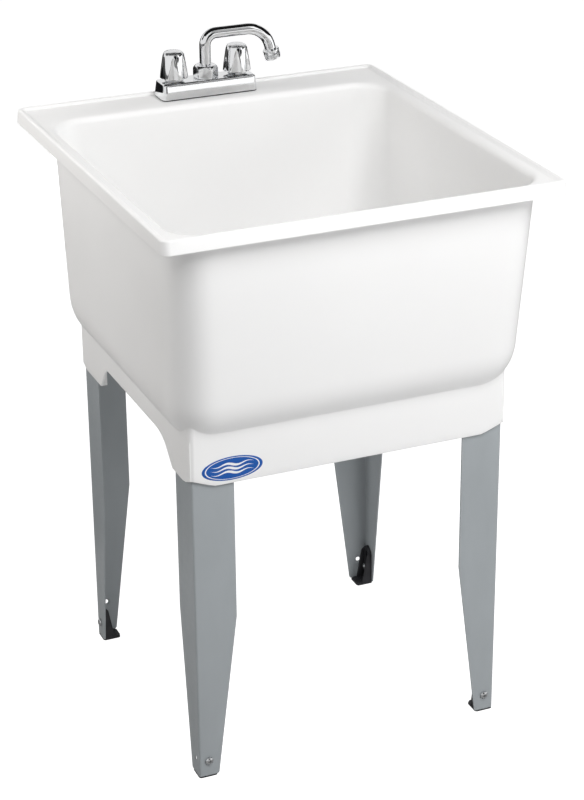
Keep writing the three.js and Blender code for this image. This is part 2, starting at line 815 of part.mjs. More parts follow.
function makeDrain() {
  const barrel = drainBarrel / 2;
  const bore = drainBore / 2;
  const flangeUnder = drainRest + fitGap;
  const flangeTop = flangeUnder + drainSeatDepth;
  const barrelEnd = flangeUnder - drainBarrelLength;
  const cup = revolve([
    [bore, barrelEnd],
    [barrel, barrelEnd],
    [barrel, flangeUnder],
    [drainFlange / 2, flangeUnder],
    [drainFlange / 2, flangeTop - 1],
    [drainFlange / 2 - 3, flangeTop],
    [bore + 3, flangeTop - 1],
    [bore, flangeTop - 4],
  ]);
  const barTop = flangeTop - strainerDepth;
  const bars = [0, 1].map((k) => (
    box(-bore - 1, bore + 1, -strainerBar / 2, strainerBar / 2, barTop - strainerBar, barTop)
      .rotateZ((k * Math.PI) / 2)
  ));
  const hubBore = strainerHub / 2;
  const hub = ring(hubBore, hubBore + strainerBar, barTop - strainerBar, barTop, smallSteps);
  addDrainPiece('drain_strainer', join(cup, ...bars, hub), 'steel');

  const gasketTop = drainUnder - fitGap;
  const gasketUnder = gasketTop - gasketThickness;
  const nutRim = barrel + drainNutRim;
  addDrainPiece('drain_gasket', ring(barrel + fitGap, nutRim + 1, gasketUnder, gasketTop), 'rubber');

  const nutTop = gasketUnder - fitGap;
  const lockNut = lugNut(barrel + fitGap, nutRim, nutTop - drainNutHeight, nutTop);
  addDrainPiece('drain_lock_nut', lockNut, 'black');

  const washerTop = barrelEnd - fitGap;
  const washerUnder = washerTop - washerThickness;
  addDrainPiece('tailpiece_washer', ring(bore - 0.5, barrel, washerUnder, washerTop, smallSteps), 'nylon');

  const tail = tailDiameter / 2;
  const tailTop = washerUnder - fitGap;
  const tailBottom = tailTop - tailLength;
  addDrainPiece('tailpiece', revolve([
    [tail - tailWall, tailBottom],
    [tail, tailBottom],
    [tail, tailTop - tailWall],
    [barrel, tailTop - tailWall],
    [barrel, tailTop],
    [tail - tailWall, tailTop],
  ]), 'chrome');

  const shoulder = tailTop - tailWall - fitGap;
  const slipUnder = shoulder - slipNutFloor;
  const slipTop = slipUnder + slipNutHeight;
  const slip = cut(
    hexNut(2 * (barrel + slipNutRim), 2 * (tail + fitGap), slipUnder, slipTop, roundSteps),
    disc(barrel + fitGap, shoulder, slipTop + cutPast),
  );
  addDrainPiece('slip_nut', slip, 'chrome');

  const plugTop = flangeTop + fitGap;
  const grip = plugGrip / 2;
  const gripTop = plugTop + plugGripHeight;
  addDrainPiece('drain_stopper', revolve([
    [0, plugTop - plugHeight],
    [bore - 1.5, plugTop - plugHeight],
    [bore - fitGap, plugTop - 4.2],
    [bore + plugBrim, plugTop],
    [bore + plugBrim - 0.8, plugTop + 3],
    [grip - 1.5, plugTop + 5],
    [grip / 2, plugTop + 9],
    [grip / 2, gripTop - 8.5],
    [grip, gripTop - 5.5],
    [grip, gripTop - 2.5],
    [grip - 2.5, gripTop - 0.5],
    [0, gripTop],
  ], smallSteps), 'rubber');
}

// A round nut with four lugs, turned by hand.
function lugNut(bore, rim, z0, z1) {
  const blank = disc((bore + rim) / 2, z0, z1);
  const lugs = [0, 1, 2, 3].map((k) => (
    box(0, rim, -drainNutLug / 2, drainNutLug / 2, z0, z1).rotateZ((k * Math.PI) / 2)
  ));
  return cut(join(blank, ...lugs), disc(bore, z0 - cutPast, z1 + cutPast));
}

// ---------------------------------------------------------------- faucet

const padUnder = deckTop + fitGap;
const coverUnder = padUnder + padRubber + fitGap;
const coverTop = deckTop + coverHeight;
const coverLength = faucetCentres + 2 * coverEnd;
const barrelTop = coverTop + valveRise;
const valveSeat = coverUnder + valveSeatHeight;
const bonnetFlats = valveBarrel + 2 * bonnetRim;
const knobHollow = bonnetFlats / Math.sqrt(3) + knobPlay;
const knobBottom = 2 * (knobHollow + knobWall + knobFluteDepth);
const knobTop = knobBottom - knobTaper;
const spoutBore = spoutTube - 2 * spoutWall;
const sealBore = spoutTube / 2 + sealWidth;
const postDiameter = 2 * (sealBore + postWall);
const postTop = coverTop + spoutNutHeight - postDrop;

function coverRing(inset, z) {
  return roundedRing({
    left: -coverLength / 2 + inset,
    right: coverLength / 2 - inset,
    front: -coverDepth / 2 + inset,
    back: coverDepth / 2 - inset,
    corner: Math.max(coverCorner - inset, 2),
    z,
    steps: 4,
  });
}

function coverSolid() {
  const rings = [coverRing(0, coverUnder), coverRing(coverDraft, coverTop - coverRound)];
  const steps = 3;
  for (let i = 1; i <= steps; i += 1) {
    const angle = (i / steps) * (Math.PI / 2);
    rings.push(coverRing(
      coverDraft + coverRound * (1 - Math.cos(angle)),
      coverTop - coverRound * (1 - Math.sin(angle)),
    ));
  }
  const hollow = loft([
    coverRing(coverWall, coverUnder - cutPast),
    coverRing(coverWall + coverDraft, coverTop - coverWall),
  ]);
  const holes = [...valveX, 0].map((x) => {
    const radius = (x === 0 ? postDiameter : valveBarrel) / 2 + fitGap;
    return disc(radius, coverTop - coverWall - cutPast, coverTop + cutPast, smallSteps).translate(x, 0, 0);
  });
  return cut(loft(rings), hollow, ...holes);
}

// The brass inside: two valve barrels with their shanks, a cross tube and the spout's centre post.
function waterwaySolid() {
  const bottom = padUnder - shankLength;
  const ledge = coverUnder + 1;
  const cartridgeBore = valveBarrel / 2 - valveWall;
  const sides = valveX.map((x) => join(
    disc(shankDiameter / 2, bottom, ledge + 1, smallSteps),
    disc(valveBarrel / 2, ledge, barrelTop, smallSteps),
  ).translate([x, 0, 0]));
  const post = disc(postDiameter / 2, ledge, postTop, smallSteps);
  const level = coverUnder + crossTubeHeight;
  const acrossValves = (diameter) => (
    disc(diameter / 2, valveX[0], valveX[1], tinySteps).rotateY(Math.PI / 2).translate(0, 0, level)
  );
  const drills = valveX.map((x) => join(
    disc(shankBore / 2, bottom - cutPast, valveSeat - 6, tinySteps),
    disc(seatBore / 2, valveSeat - 7, valveSeat + 1, tinySteps),
    disc(cartridgeBore, valveSeat, barrelTop + cutPast, tinySteps),
  ).translate([x, 0, 0]));
  const spoutDrill = disc(sealBore, level, postTop + cutPast, smallSteps);
  const casting = join(...sides, post, acrossValves(crossTube));
  return cut(casting, ...drills, spoutDrill, acrossValves(crossTubeBore));
}

// A tapered knob with teardrop flutes that narrow towards its top.
function knobSolid(bottom) {
  const rings = [];
  const levels = 7;
  const perFlute = 6;
  const count = knobFlutes * perFlute;
  for (let level = 0; level <= levels; level += 1) {
    const t = level / levels;
    const rounded = THREE.MathUtils.clamp((t - 0.85) / 0.15, 0, 1);
    const shoulder = knobShoulder * (1 - Math.sqrt(1 - rounded ** 2));
    const radius = THREE.MathUtils.lerp(knobBottom, knobTop, t ** 1.25) / 2 - shoulder;
    const depth = knobFluteDepth * Math.max(1 - t / 0.9, 0);
    const halfWidth = THREE.MathUtils.lerp(0.9, 0.3, Math.min(t / 0.9, 1));
    const points = [];
    for (let i = 0; i < count; i += 1) {
      const angle = (i / count) * 2 * Math.PI;
      const offset = Math.abs(((i / perFlute + 0.5) % 1) - 0.5) * 2;
      const dip = offset < halfWidth ? Math.cos((offset / halfWidth) * (Math.PI / 2)) ** 2 : 0;
      const r = radius - depth * dip;
      points.push(new THREE.Vector3(r * Math.cos(angle), r * Math.sin(angle), bottom + t * knobHeight));
    }
    rings.push(points);
  }
  return loft(rings);
}

function makeValve(side, x) {
  const place = new THREE.Group();
  place.position.set(x, faucetY, 0);
  sink.add(place);
  const cartridgeRadius = valveBarrel / 2 - valveWall - fitGap;
  const seat = barrelTop + fitGap;
  const flangeTop = seat + bonnetTop;
  const stemRadius = stemDiameter / 2;
  const sleeve = stemRadius + stemCollar;
  const nutTop = flangeTop + fitGap + bonnetTop;
  const cartridgeTop = nutTop + bonnetTop;
  const cartridgeBase = valveSeat + fitGap;
  const stemFloor = cartridgeBase + valveWall;
  addPiece(`${side}_cartridge`, revolve([
    [stemRadius + fitGap, stemFloor],
    [stemRadius + fitGap, cartridgeTop],
    [sleeve, cartridgeTop],
    [sleeve, flangeTop],
    [valveBarrel / 2, flangeTop],
    [valveBarrel / 2, seat],
    [cartridgeRadius, seat],
    [cartridgeRadius, cartridgeBase],
    [seatBore / 2, cartridgeBase],
    [seatBore / 2, stemFloor],
  ], tinySteps), 'brass', place);

  const nutUnder = coverTop + fitGap;
  addPiece(`${side}_bonnet_nut`, cut(
    hexNut(bonnetFlats, 2 * (sleeve + fitGap), nutUnder, nutTop),
    disc(valveBarrel / 2 + fitGap, nutUnder - cutPast, flangeTop + fitGap, smallSteps),
  ), 'zinc', place);

  const knobUnder = coverTop + knobLift;
  const knobRoof = knobUnder + knobHeight;
  const stemTop = knobUnder + knobHeight * 0.62;
  const screwBore = handleScrewDiameter / 2 + fitGap;
  addPiece(`${side}_stem`, revolve([
    [0, stemFloor + fitGap],
    [stemRadius, stemFloor + fitGap],
    [stemRadius, stemTop],
    [screwBore, stemTop],
    [screwBore, stemTop - stemSocket],
    [0, stemTop - stemSocket],
  ], tinySteps), 'brass', place);

  // The knob is open below for the bonnet nut, takes the stem in its hub and a screw from above.
  const hubTop = stemTop + fitGap;
  const wellFloor = hubTop + knobWeb;
  const hollow = disc(knobHollow, knobUnder - cutPast, cartridgeTop + bonnetTop, smallSteps);
  const knob = cut(
    knobSolid(knobUnder),
    hollow,
    disc(stemRadius + fitGap, knobUnder, hubTop, tinySteps),
    disc(screwBore, hubTop - 1, wellFloor + 1, tinySteps),
    disc(knobWell / 2, wellFloor, knobRoof + cutPast, tinySteps),
  );
  addPiece(`${side}_handle`, knob, 'chrome', place);

  const headHeight = handleScrewHead * 0.375;
  const screwShape = panScrew(handleScrewDiameter, handleScrewLength, handleScrewHead, headHeight);
  const screw = addPiece(`${side}_handle_screw`, screwShape, 'zinc', place);
  screw.rotation.x = Math.PI;
  screw.position.z = wellFloor + fitGap;

  const capUnder = knobRoof + fitGap;
  const capRadius = knobTop / 2 - capEdge;
  const spigot = knobWell / 2 - fitGap;
  addPiece(`${side}_handle_cap`, revolve([
    [0, capUnder - capSpigot],
    [spigot, capUnder - capSpigot],
    [spigot, capUnder],
    [capRadius, capUnder],
    [capRadius * 0.92, capUnder + capHeight * 0.4],
    [capRadius * 0.72, capUnder + capHeight * 0.74],
    [capRadius * 0.4, capUnder + capHeight * 0.94],
    [0, capUnder + capHeight],
  ], tinySteps), 'chrome', place);

  const washerTop = deckUnder - fitGap;
  const washerUnder = washerTop - washerThickness;
  const shank = shankDiameter / 2 + fitGap;
  const washer = ring(shank, lockNutDiameter / 2, washerUnder, washerTop, smallSteps);
  addPiece(`${side}_shank_washer`, washer, 'steel', place);
  const nutHigh = washerUnder - fitGap;
  addPiece(`${side}_lock_nut`, wingNut(shank, nutHigh - lockNutHeight, nutHigh), 'nylon', place);
}

// A plastic nut with a round flange above and four finger wings.
function wingNut(bore, z0, z1) {
  const flange = disc(lockNutDiameter / 2, z1 - 3, z1, smallSteps);
  const hub = disc(bore + 4, z0, z1 - 1, smallSteps);
  const wings = [0, 1, 2, 3].map((k) => (
    box(bore, lockNutDiameter / 2, -1.5, 1.5, z0, z1 - 1).rotateZ((k * Math.PI) / 2)
  ));
  return cut(join(flange, hub, ...wings), disc(bore, z0 - cutPast, z1 + cutPast, smallSteps));
}

// The spout's centre line: up, round to +X, level, then down to the outlet.
function spoutPath(foot) {
  const level = deckTop + spoutHeight;
  const at = (x, z) => new THREE.Vector3(x, 0, z);
  const points = [at(0, foot)];
  const arc = (cx, cz, radius, from, to, steps) => {
    for (let i = 0; i <= steps; i += 1) {
      const angle = THREE.MathUtils.lerp(from, to, i / steps);
      points.push(at(cx + radius * Math.cos(angle), cz + radius * Math.sin(angle)));
    }
  };
  arc(spoutFirstBend, level - spoutFirstBend, spoutFirstBend, Math.PI, Math.PI / 2, 5);
  arc(spoutRun, level - spoutSecondBend, spoutSecondBend, Math.PI / 2, Math.PI / 2 - spoutDroop, 6);
  const last = points[points.length - 1];
  const heading = at(Math.cos(spoutDroop), -Math.sin(spoutDroop));
  points.push(last.clone().addScaledVector(heading, spoutTip));
  return { points, heading, end: points[points.length - 1] };
}

// A round tube through points in the XZ plane, its rings set square to the bends.
function sweep(points, radius, sides) {
  const rings = points.map((point, i) => {
    const before = points[Math.max(i - 1, 0)];
    const after = points[Math.min(i + 1, points.length - 1)];
    const along = after.clone().sub(before).normalize();
    const across = new THREE.Vector3(along.z, 0, -along.x);
    const sideways = new THREE.Vector3(0, 1, 0);
    return Array.from({ length: sides }, (_, k) => {
      const angle = (k / sides) * 2 * Math.PI;
      return point.clone()
        .addScaledVector(across, radius * Math.cos(angle))
        .addScaledVector(sideways, radius * Math.sin(angle));
    });
  });
  return loft(rings);
}

function makeSpout() {
  const place = new THREE.Group();
  place.position.set(0, faucetY, 0);
  sink.add(place);
  const foot = coverUnder + spoutFootDepth;
  const { points, heading, end } = spoutPath(foot);
  const outer = sweep(points, spoutTube / 2, smallSteps);
  const past = points.map((p) => p.clone());
  past[0].z -= cutPast;
  past[past.length - 1].addScaledVector(heading, cutPast);
  const inner = sweep(past, spoutBore / 2, tinySteps);
  const collarUnder = postTop + fitGap;
  const collarTop = collarUnder + spoutCollar;
  const collar = disc(postDiameter / 2 - 1, collarUnder, collarTop, smallSteps);
  addPiece('spout', cut(join(outer, collar), inner), 'chrome', place);

  const sealTop = postTop - sealHeight;
  addPiece('spout_seal', ring(
    spoutTube / 2 + fitGap, sealBore - fitGap, sealTop - sealHeight, sealTop, smallSteps,
  ), 'rubber', place);

  const nutUnder = coverTop + fitGap;
  const nutTop = nutUnder + spoutNutHeight;
  addPiece('spout_nut', cut(
    hexNut(postDiameter + 2 * spoutNutRim, spoutTube + 2 * fitGap, nutUnder, nutTop, smallSteps),
    disc(postDiameter / 2 + fitGap, nutUnder - cutPast, collarTop + fitGap, smallSteps),
  ), 'chrome', place);

  // The outlet's hose end slips over the tube's tip, square to it.
  const tip = spoutTube / 2 + fitGap;
  const outside = spoutTube / 2 + hoseEndWall;
  const hoseEnd = addPiece('hose_end', revolve([
    [tip, 0],
    [outside - 1.2, 0],
    [outside, 1.2],
    [outside, hoseEndLength - 1],
    [outside - 1, hoseEndLength],
    [spoutBore / 2, hoseEndLength],
    [spoutBore / 2, hoseEndLap + fitGap],
    [tip, hoseEndLap + fitGap],
  ], smallSteps), 'chrome', place);
  hoseEnd.position.copy(end).addScaledVector(heading, -hoseEndLap);
  hoseEnd.rotation.y = Math.atan2(heading.x, heading.z);
}

function makeFaucet() {
  const rubber = cut(
    loft([coverRing(padInset, padUnder), coverRing(padInset, padUnder + padRubber)]),
    ...valveX.map((x) => (
      disc(shankDiameter / 2 + padRubber, padUnder - cutPast, coverUnder, smallSteps).translate(x, 0, 0)
    )),
  );
  addPiece('faucet_gasket', rubber, 'rubber').position.y = faucetY;
  addPiece('faucet_cover', coverSolid(), 'chrome').position.y = faucetY;
  addPiece('faucet_waterway', waterwaySolid(), 'brass').position.y = faucetY;
  makeValve('hot', valveX[0]);
  makeValve('cold', valveX[1]);
  makeSpout();
}

makeTub();
makeLegs();
makeDrain();
makeFaucet();

export default sink;
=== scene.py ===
# Utility laundry sink: moulded tub, folded steel legs, levelling feet, drain and deck faucet.
import json
import math

import bmesh
import bpy
import numpy as np
from mathutils import Matrix, Vector


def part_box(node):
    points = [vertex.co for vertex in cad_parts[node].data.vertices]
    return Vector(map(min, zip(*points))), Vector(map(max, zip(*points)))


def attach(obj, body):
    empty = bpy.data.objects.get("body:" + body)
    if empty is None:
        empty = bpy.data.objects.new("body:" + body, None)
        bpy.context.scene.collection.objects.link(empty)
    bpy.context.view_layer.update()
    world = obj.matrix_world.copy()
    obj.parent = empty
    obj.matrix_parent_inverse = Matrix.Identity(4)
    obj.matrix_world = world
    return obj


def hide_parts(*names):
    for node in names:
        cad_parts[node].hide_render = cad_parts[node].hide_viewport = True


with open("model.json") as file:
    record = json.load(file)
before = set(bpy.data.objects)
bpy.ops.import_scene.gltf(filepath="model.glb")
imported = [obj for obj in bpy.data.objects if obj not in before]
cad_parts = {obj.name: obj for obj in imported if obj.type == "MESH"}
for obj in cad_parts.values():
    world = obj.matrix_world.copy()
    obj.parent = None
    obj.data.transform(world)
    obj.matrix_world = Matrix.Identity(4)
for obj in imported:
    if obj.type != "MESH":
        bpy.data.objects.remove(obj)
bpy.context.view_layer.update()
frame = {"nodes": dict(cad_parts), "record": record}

coverLow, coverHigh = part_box("faucet_cover")
faucetY = (coverLow.y + coverHigh.y) / 2
valveX = {side: sum(corner.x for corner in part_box(side + "_stem")) / 2 for side in ("hot", "cold")}
tiny = 1e-6
through = 0.004
print("frame loaded")

# small tools shared by all pieces; every length is in metres


def applyModifiers(piece):
    evaluated = piece.evaluated_get(bpy.context.evaluated_depsgraph_get())
    mesh = bpy.data.meshes.new_from_object(evaluated)
    piece.modifiers.clear()
    piece.data = mesh


def shade(piece, sharpAngle=38):
    mesh = piece.data
    mesh.polygons.foreach_set("use_smooth", [True] * len(mesh.polygons))
    mesh.set_sharp_from_angle(angle=math.radians(sharpAngle))
    mesh.update()


def addMesh(name, points, faces, material=None, sharpAngle=38):
    mesh = bpy.data.meshes.new(name)
    mesh.from_pydata([tuple(map(float, p)) for p in points], [], faces)
    mesh.validate()
    piece = bpy.data.objects.new(name, mesh)
    bpy.context.scene.collection.objects.link(piece)
    if material:
        mesh.materials.append(material)
    shade(piece, sharpAngle)
    return piece


def cutAndJoin(piece, others, operation="DIFFERENCE"):
    for other in others:
        tool = piece.modifiers.new("tool", "BOOLEAN")
        tool.operation = operation
        tool.solver = "EXACT"
        tool.object = other
    applyModifiers(piece)
    for other in others:
        bpy.data.objects.remove(other)
    return piece


# booleans leave extra material slots behind
def refinish(piece, material, sharpAngle):
    piece.data.materials.clear()
    piece.data.materials.append(material)
    shade(piece, sharpAngle)


def softenEdges(piece, width, segments=3, angle=32):
    bevel = piece.modifiers.new("edges", "BEVEL")
    bevel.width = width
    bevel.segments = segments
    bevel.limit_method = "ANGLE"
    bevel.angle_limit = math.radians(angle)
    bevel.use_clamp_overlap = True
    bevel.miter_outer = "MITER_ARC"
    applyModifiers(piece)
    return piece


def dress(piece, body, slot, *nodes):
    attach(piece, body)
    if nodes:
        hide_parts(*nodes)
    return piece


# quads between rings of equal size; wrap joins the last ring to the first
def ringFaces(ringCount, ringSize, wrap=False, start=0):
    faces = []
    for r in range(ringCount if wrap else ringCount - 1):
        a = start + r * ringSize
        b = start + ((r + 1) % ringCount) * ringSize
        for i in range(ringSize):
            j = (i + 1) % ringSize
            faces.append((a + i, a + j, b + j, b + i))
    return faces


# rounds every inner corner of a path of (a, b, radius) with a short curve
def softPath(path, steps=4, closed=False):
    count = len(path)
    result = []
    for k, (a, b, radius) in enumerate(path):
        here = Vector((a, b))
        isEnd = not closed and k in (0, count - 1)
        if isEnd or radius <= 0:
            result.append(here)
            continue
        before = Vector(path[k - 1][:2])
        after = Vector(path[(k + 1) % count][:2])
        back = before - here
        ahead = after - here
        reach = min(radius, back.length * 0.49, ahead.length * 0.49)
        start = here + back.normalized() * reach
        end = here + ahead.normalized() * reach
        for s in range(steps + 1):
            t = s / steps
            result.append(start * (1 - t) ** 2 + here * (2 * t * (1 - t)) + end * t ** 2)
    return result


# turns a (radius, height, corner) path about Z: a closed path makes a ring, an open one ends on the axis
def latheMesh(name, path, material, steps=64, closed=False, softSteps=4, sharpAngle=38):
    profile = softPath(path, softSteps, closed)
    points = []
    rings = []
    for p in profile:
        if p.x < tiny:
            rings.append([len(points)])
            points.append((0, 0, p.y))
            continue
        rings.append(list(range(len(points), len(points) + steps)))
        for i in range(steps):
            angle = 2 * math.pi * i / steps
            points.append((p.x * math.cos(angle), p.x * math.sin(angle), p.y))
    faces = []
    pairs = list(zip(rings, rings[1:]))
    if closed:
        pairs.append((rings[-1], rings[0]))
    for low, high in pairs:
        for i in range(steps):
            j = (i + 1) % steps
            if len(low) == 1:
                faces.append((low[0], high[j], high[i]))
            elif len(high) == 1:
                faces.append((low[i], low[j], high[0]))
            else:
                faces.append((low[i], low[j], high[j], high[i]))
    piece = addMesh(name, points, faces, material, sharpAngle)
    faceOutward(piece)
    return piece


def faceOutward(piece):
    work = bmesh.new()
    work.from_mesh(piece.data)
    bmesh.ops.recalc_face_normals(work, faces=work.faces)
    work.to_mesh(piece.data)
    work.free()


# a flat outline of (a, b) points given a thickness along the third axis; holes are outlines too
def plateMesh(name, outline, depth, material=None, holes=()):
    curve = bpy.data.curves.new(name, "CURVE")
    curve.dimensions = "2D"
    curve.fill_mode = "BOTH"
    curve.extrude = depth / 2
    for loop in (outline, *holes):
        spline = curve.splines.new("POLY")
        spline.points.add(len(loop) - 1)
        for point, (a, b) in zip(spline.points, loop):
            point.co = (a, b, depth / 2, 1)
        spline.use_cyclic_u = True
    holder = bpy.data.objects.new(name, curve)
    bpy.context.scene.collection.objects.link(holder)
    bpy.context.view_layer.update()
    mesh = bpy.data.meshes.new_from_object(holder.evaluated_get(bpy.context.evaluated_depsgraph_get()))
    bpy.data.objects.remove(holder)
    mesh.transform(Matrix.Translation((0, 0, depth / 2)))
    work = bmesh.new()
    work.from_mesh(mesh)
    bmesh.ops.remove_doubles(work, verts=work.verts, dist=tiny)
    bmesh.ops.recalc_face_normals(work, faces=work.faces)
    low = min(v.co.z for v in work.verts)
    bmesh.ops.translate(work, verts=work.verts, vec=(0, 0, -low))
    work.to_mesh(mesh)
    work.free()
    piece = bpy.data.objects.new(name, mesh)
    bpy.context.scene.collection.objects.link(piece)
    if material:
        mesh.materials.append(material)
    return piece


def arcPoints(centre, radius, fromDeg, toDeg, steps):
    points = []
    for i in range(steps + 1):
        angle = math.radians(fromDeg + (toDeg - fromDeg) * i / steps)
        points.append((centre[0] + radius * math.cos(angle), centre[1] + radius * math.sin(angle)))
    return points


# a cutting cylinder along Z; with a spread it widens above zero
def cylinderTool(radius, low, high, steps=64, place=None, spread=0):
    path = [(0, low, 0), (radius, low, 0), (radius + spread, high, 0), (0, high, 0)]
    if spread:
        path.insert(2, (radius, 0, 0))
    tool = latheMesh("tool", path, None, steps)
    if place:
        tool.data.transform(place)
    return tool


def moveMesh(piece, matrix):
    piece.data.transform(matrix)
    piece.data.update()
    return piece


# finishes

# cloud, grain and bump: scale, detail, roughness and stretch of their noise
# tones: the darkest and the palest share of the tone; height: how deep the bump is
metalLook = {"metallic": 1.0, "cloud": (40.0, 2.0), "tones": (0.96, 1.03)}
finishes = {
    "tubPlastic": {
        "tone": (0.875, 0.873, 0.87), "tones": (0.992, 1.006), "roughness": (0.33, 0.38), "height": 0.00002,
        "cloud": (6.0, 2.0), "grain": (12.0, 2.0), "bump": (160.0, 1.0),
    },
    "legPaint": {
        "tone": (0.35, 0.377, 0.394), "tones": (0.94, 1.05), "roughness": (0.36, 0.46), "height": 0.00004,
        "cloud": (14.0, 4.0, 0.55, (1, 1, 0.35)), "grain": (120.0, 3.0), "bump": (900.0, 2.0),
        "coat": (0.15, 0.3),
    },
    "footPlastic": {
        "tone": (0.018, 0.018, 0.021), "tones": (0.8, 1.5), "roughness": (0.42, 0.58), "height": 0.00006,
        "cloud": (60.0, 3.0), "grain": (300.0, 2.0), "bump": (2200.0, 2.0),
    },
    "blackRubber": {
        "tone": (0.014, 0.014, 0.015), "tones": (1.0, 1.7), "roughness": (0.55, 0.75), "height": 0.00004,
        "cloud": (80.0, 3.0), "grain": (250.0, 3.0), "bump": (1500.0, 3.0),
    },
    "nylon": {
        "tone": (0.78, 0.76, 0.70), "tones": (0.95, 1.03), "roughness": (0.4, 0.52), "height": 0.00003,
        "cloud": (30.0, 3.0), "grain": (200.0, 2.0), "bump": (1200.0, 2.0),
    },
    "chrome": {
        **metalLook, "tone": (0.92, 0.928, 0.938), "roughness": (0.035, 0.07), "height": 0.000002,
        "grain": (300.0, 3.0), "bump": (510.0, 2.0),
    },
    "satinChrome": {
        **metalLook, "tone": (0.92, 0.928, 0.938), "roughness": (0.16, 0.24), "height": 0.00001,
        "grain": (700.0, 3.0), "bump": (1190.0, 2.0),
    },
    "zinc": {
        **metalLook, "tone": (0.62, 0.63, 0.64), "roughness": (0.1, 0.2), "height": 0.00001,
        "grain": (500.0, 3.0), "bump": (850.0, 2.0),
    },
    "brass": {
        **metalLook, "tone": (0.55, 0.39, 0.14), "roughness": (0.22, 0.34), "height": 0.00002,
        "grain": (350.0, 3.0), "bump": (595.0, 2.0),
    },
    "stainless": {
        **metalLook, "tone": (0.58, 0.58, 0.59), "roughness": (0.2, 0.34), "height": 0.00002,
        "grain": (450.0, 3.0, 0.5, (1, 1, 5)), "bump": (765.0, 2.0, 0.5, (1, 1, 5)),
    },
}

# where most of a noise field lies
noiseLow, noiseHigh = 0.3, 0.7


def newFinish(name, tone, roughness, metallic=0.0):
    material = bpy.data.materials.new(name)
    material.use_nodes = True
    shader = material.node_tree.nodes["Principled BSDF"]
    shader.inputs["Base Color"].default_value = (*tone, 1)
    shader.inputs["Roughness"].default_value = roughness
    shader.inputs["Metallic"].default_value = metallic
    material.diffuse_color = (*tone, 1)
    return material, shader


def noiseField(material, scale, detail=3.0, roughness=0.5, stretch=(1, 1, 1)):
    nodes = material.node_tree.nodes
    links = material.node_tree.links
    place = nodes.new("ShaderNodeTexCoord")
    mapping = nodes.new("ShaderNodeMapping")
    mapping.inputs["Scale"].default_value = stretch
    noise = nodes.new("ShaderNodeTexNoise")
    noise.inputs["Scale"].default_value = scale
    noise.inputs["Detail"].default_value = detail
    noise.inputs["Roughness"].default_value = roughness
    links.new(place.outputs["Object"], mapping.inputs["Vector"])
    links.new(mapping.outputs["Vector"], noise.inputs["Vector"])
    return noise.outputs["Fac"]


# spreads a 0..1 field over a range and plugs it into one of the shader's inputs
def varyInput(material, shader, field, inputName, low, high):
    spread = material.node_tree.nodes.new("ShaderNodeMapRange")
    spread.inputs["From Min"].default_value = noiseLow
    spread.inputs["From Max"].default_value = noiseHigh
    spread.inputs["To Min"].default_value = low
    spread.inputs["To Max"].default_value = high
    material.node_tree.links.new(field, spread.inputs["Value"])
    material.node_tree.links.new(spread.outputs["Result"], shader.inputs[inputName])


def varyColor(material, shader, field, toneA, toneB):
    nodes = material.node_tree.nodes
    ramp = nodes.new("ShaderNodeValToRGB")
    ramp.color_ramp.elements[0].position = noiseLow
    ramp.color_ramp.elements[0].color = (*toneA, 1)
    ramp.color_ramp.elements[1].position = noiseHigh
    ramp.color_ramp.elements[1].color = (*toneB, 1)
    material.node_tree.links.new(field, ramp.inputs["Fac"])
    material.node_tree.links.new(ramp.outputs["Color"], shader.inputs["Base Color"])


def addBump(material, shader, field, height):
    bump = material.node_tree.nodes.new("ShaderNodeBump")
    bump.inputs["Distance"].default_value = height
    bump.inputs["Strength"].default_value = 1.0
    material.node_tree.links.new(field, bump.inputs["Height"])
    material.node_tree.links.new(bump.outputs["Normal"], shader.inputs["Normal"])


def scaled(tone, factor):
    return tuple(min(1.0, c * factor) for c in tone)


def makeFinish(name):
    look = finishes[name]
    material, shader = newFinish(name, look["tone"], look["roughness"][0], look.get("metallic", 0.0))
    darkest, palest = (scaled(look["tone"], share) for share in look["tones"])
    varyColor(material, shader, noiseField(material, *look["cloud"]), darkest, palest)
    varyInput(material, shader, noiseField(material, *look["grain"]), "Roughness", *look["roughness"])
    addBump(material, shader, noiseField(material, *look["bump"]), look["height"])
    if "coat" in look:
        shader.inputs["Coat Weight"].default_value = look["coat"][0]
        shader.inputs["Coat Roughness"].default_value = look["coat"][1]
    return material


tubPlastic = makeFinish("tubPlastic")
legPaint = makeFinish("legPaint")
footPlastic = makeFinish("footPlastic")
blackRubber = makeFinish("blackRubber")
nylon = makeFinish("nylon")
chrome = makeFinish("chrome")
satinChrome = makeFinish("satinChrome")
zinc = makeFinish("zinc")
brass = makeFinish("brass")
stainless = makeFinish("stainless")
print("finishes made")

# tub

